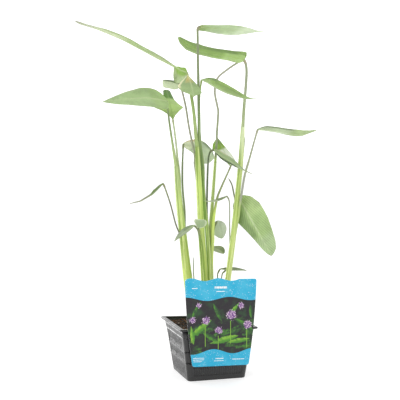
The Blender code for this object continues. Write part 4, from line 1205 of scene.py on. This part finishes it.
def patch(tree, place, x, y, wide, tall, turn=0.0):
    # a place in units of a patch that is centred at x, y and turned by so many degrees
    return addNode(tree, "Mapping", place, (x, y, 0), (0, 0, radians(turn)), (wide, tall, 1),
                   vector_type="TEXTURE").outputs[0]


def sidesOf(tree, place, *patchAt):
    # how far along and how far across a patch a place is
    return addNode(tree, "SeparateXYZ", patch(tree, place, *patchAt)).outputs[:2]


def bar(tree, place, solidWide, solidTall, *patchAt):
    # 1 inside a bar, up to the given shares of half its width and height, and 0 past its edges
    a, b = sidesOf(tree, place, *patchAt)
    return times(tree, ramp(tree, calc(tree, "ABSOLUTE", a), 1.0, solidWide),
                 ramp(tree, calc(tree, "ABSOLUTE", b), 1.0, solidTall))


def darkWater(tree, place, rise):
    # nearly black with green glints, and masses of soft leaves low down
    glints = ramp(tree, noise(tree, place, 0.07, 4.0, 0.6), 0.46, 0.68)
    color = mixColor(tree, glints, label["night"], label["deepGreen"])
    lighter = ramp(tree, noise(tree, place, 0.35, 3.0, 0.6), 0.35, 0.7)
    masses = ramp(tree, noise(tree, patch(tree, place, 0, 0, 2.4, 1.0, 12), 0.085, 4.0, 0.6), 0.5, 0.6)
    masses = times(tree, masses, ramp(tree, rise, 30.0, -6.0))
    return mixColor(tree, masses, color, mixColor(tree, lighter, label["deepGreen"], label["leafGreen"]))


def withPlants(tree, place, color):
    # lance leaves, where |y| + x squared plus some noise is under 1.3, then stems, then round
    # heads of florets, where the distance plus some of the cells' is under 1.12
    for i, (x, y, long, wide, turn) in enumerate(label["leaves"]):
        a, b = sidesOf(tree, place, x, y, long, wide, turn)
        reach = calc(tree, "MULTIPLY_ADD", a, a, calc(tree, "ABSOLUTE", b))
        reach = calc(tree, "MULTIPLY_ADD", noise(tree, place, 0.3), 0.5, reach)
        soft = ramp(tree, noise(tree, place, 0.2, 2.0), 0.3, 0.6)
        lighter = times(tree, ramp(tree, b, -0.5, 0.4), soft)
        pair = (label["leafGreen"], label["lime"]) if i % 2 else (label["deepGreen"], label["leafGreen"])
        color = mixColor(tree, ramp(tree, reach, 1.3, 1.0), color, mixColor(tree, lighter, *pair))
    for x, y, tall in label["stems"]:
        stem = bar(tree, place, 0.6, 0.9, x, y - 6, 0.55, tall / 2, 3)
        color = mixColor(tree, stem, color, label["lime"])
    cells = addNode(tree, "TexVoronoi", place, None, 0.62).outputs["Distance"]
    florets = mixColor(tree, ramp(tree, cells, 0.15, 0.6), label["pink"], label["violet"])
    for x, y, radius in label["heads"]:
        a, b = sidesOf(tree, place, x, y, radius, radius)
        far = calc(tree, "SQRT", calc(tree, "MULTIPLY_ADD", a, a, times(tree, b, b)))
        ragged = calc(tree, "MULTIPLY_ADD", cells, 0.55, far)
        color = mixColor(tree, ramp(tree, ragged, 1.12, 1.0), color, florets)
    return color


def blueWater(tree, place):
    # blue with paler patches and small white sparkles
    spots = addNode(tree, "TexVoronoi", place, None, 0.5).outputs["Distance"]
    clusters = ramp(tree, noise(tree, place, 0.16, 2.0), 0.42, 0.58)
    sparkle = times(tree, ramp(tree, spots, 0.32, 0.12), clusters)
    water = mixColor(tree, times(tree, sparkle, 0.7), label["blue"], label["white"])
    paler = ramp(tree, noise(tree, place, 0.05), 0.35, 0.7, 0.0, 0.35)
    return mixColor(tree, paler, water, label["paleBlue"])


def overEdge(tree, across, rise, edge):
    # how far up a place is over a sine wave
    height, wave, length, start = edge
    turn = calc(tree, "MULTIPLY_ADD", across, 2 * pi / length, start)
    wavy = calc(tree, "MULTIPLY_ADD", calc(tree, "SINE", turn), wave, height)
    return calc(tree, "SUBTRACT", rise, wavy)


def printMaterial():
    # the print is a design of its own: two wavy blue bands with rows of plain strokes where a
    # label has its words, and between them round flower heads and lance leaves over dark water
    material, tree, shader = newMaterial("printedCard", Roughness=0.3)
    across, rise = attribute(tree, "across"), attribute(tree, "rise")
    place = addNode(tree, "CombineXYZ", across, rise, 0.0).outputs[0]
    color = withPlants(tree, place, darkWater(tree, place, rise))
    overUpper = overEdge(tree, across, rise, label["upperEdge"])
    overLower = overEdge(tree, across, rise, label["lowerEdge"])
    color = mixColor(tree, ramp(tree, overUpper, -5.0, -0.5, 0.0, 0.7), color, label["night"])
    band = calc(tree, "MAXIMUM", ramp(tree, overUpper, -0.2, 0.2), ramp(tree, overLower, 0.2, -0.2))
    color = mixColor(tree, band, color, blueWater(tree, place))
    for x, y, wide, tall, stroke in label["bars"]:
        strokes = noise(tree, patch(tree, place, x, y, stroke, 40.0), 1.0, 1.0)
        broken = calc(tree, "GREATER_THAN", strokes, 0.42)
        mask = times(tree, bar(tree, place, 0.97, 0.7, x, y, wide, tall), broken)
        color = mixColor(tree, mask, color, label["white"])
    front = ramp(tree, attribute(tree, "upper"), 0.4, 0.6)
    paint(tree, shader, mixColor(tree, front, label["white"], color))
    return material


def makeLabel():
    # the card and its hook
    makeCard()
    makeHook()
    print("label made")


# Floor, lights and camera

studio = {
    "cameraPlace": (-0.3745, -1.2136, 0.3134), "cameraTurn": (87.0, 0.0, -16.6), "lens": 81.0,
    "clip": (0.01, 100.0), "floorSide": 30.0, "floor": tint(200, 200, 200), "glow": 0.6,
    # the way from the camera, and how strong the light is ahead of the plant and behind it
    "away": (0.285, 0.957, 0.0), "ahead": 0.45, "behind": 1.5,
}
lamps = {
    "key": {"place": (-1.1, -1.2, 1.6), "aim": (0.0, 0.0, 0.25), "size": 1.2, "power": 14.0},
    "fill": {"place": (1.3, -0.9, 1.0), "aim": (0.0, 0.0, 0.25), "size": 1.4, "power": 3.0},
    "rim": {"place": (-0.62, 1.75, 0.35), "aim": (0.0, 0.0, 0.05), "size": 0.7, "power": 7.5},
}


def addToScene(name, data):
    # an object for a mesh, a light or a camera
    made = bpy.data.objects.new(name, data)
    bpy.context.scene.collection.objects.link(made)
    return made


def makeFloor():
    # a pale square that glows a little, so that it goes over into the backdrop
    side = studio["floorSide"]
    mesh = bpy.data.meshes.new("floor")
    corners = [(-side, -side, 0), (side, -side, 0), (side, side, 0), (-side, side, 0)]
    mesh.from_pydata(corners, [], [(0, 1, 2, 3)])
    glow = {"Base Color": studio["floor"], "Emission Color": (1.0, 1.0, 1.0, 1.0),
            "Emission Strength": studio["glow"]}
    mesh.materials.append(newMaterial("paleFloor", Roughness=0.9, **glow)[0])
    addToScene("floor", mesh)


def makeRoom():
    # a white backdrop behind the plant, and a dimmer room on the side it is seen from
    world = bpy.data.worlds.new("studio")
    bpy.context.scene.world = world
    world.use_nodes = True
    tree = world.node_tree
    background = tree.nodes["Background"]
    background.inputs["Color"].default_value = (1.0, 1.0, 1.0, 1.0)
    way = addNode(tree, "TexCoord").outputs["Generated"]
    facing = addNode(tree, "VectorMath", way, studio["away"], operation="DOT_PRODUCT").outputs["Value"]
    seen = addNode(tree, "LightPath").outputs["Is Camera Ray"]
    strength = calc(tree, "MAXIMUM", ramp(tree, facing, -0.2, 0.7, studio["ahead"], studio["behind"]), seen)
    tree.links.new(strength, background.inputs["Strength"])


def makeLamp(name):
    # a square lamp at its place, turned to face its aim
    light = bpy.data.lights.new(name, "AREA")
    light.size, light.energy = lamps[name]["size"], lamps[name]["power"]
    lamp = addToScene(name, light)
    lamp.location = lamps[name]["place"]
    way = lamp.location - type(lamp.location)(lamps[name]["aim"])
    lamp.rotation_euler = way.to_track_quat("Z", "Y").to_euler()


def makeCamera():
    # the photo's view, worked out from the pot's rim, sides and base
    lens = bpy.data.cameras.new("camera")
    lens.lens, lens.sensor_width = studio["lens"], 36.0
    lens.clip_start, lens.clip_end = studio["clip"]
    camera = addToScene("camera", lens)
    camera.location = studio["cameraPlace"]
    camera.rotation_euler = [radians(angle) for angle in studio["cameraTurn"]]
    bpy.context.scene.camera = camera
    bpy.context.scene.view_settings.view_transform = "Standard"


def makeStudio():
    # what the render needs round the part, none of it in the export
    makeFloor()
    makeRoom()
    for name in lamps:
        makeLamp(name)
    makeCamera()
    print("studio made")


makeStudio()
makePot()
makeLump()
makeCrumbs()
print("soil made")
for name in shoots:
    makeShoot(name)
print("shoots made")
for name, leaf in leaves.items():
    makeStalk(name, leaf, name + "_stalk")
    makeBlade(name, leaf)
for name, leaf in spikes.items():
    makeStalk(name, leaf, name)
print("leaves made")
makeLabel()
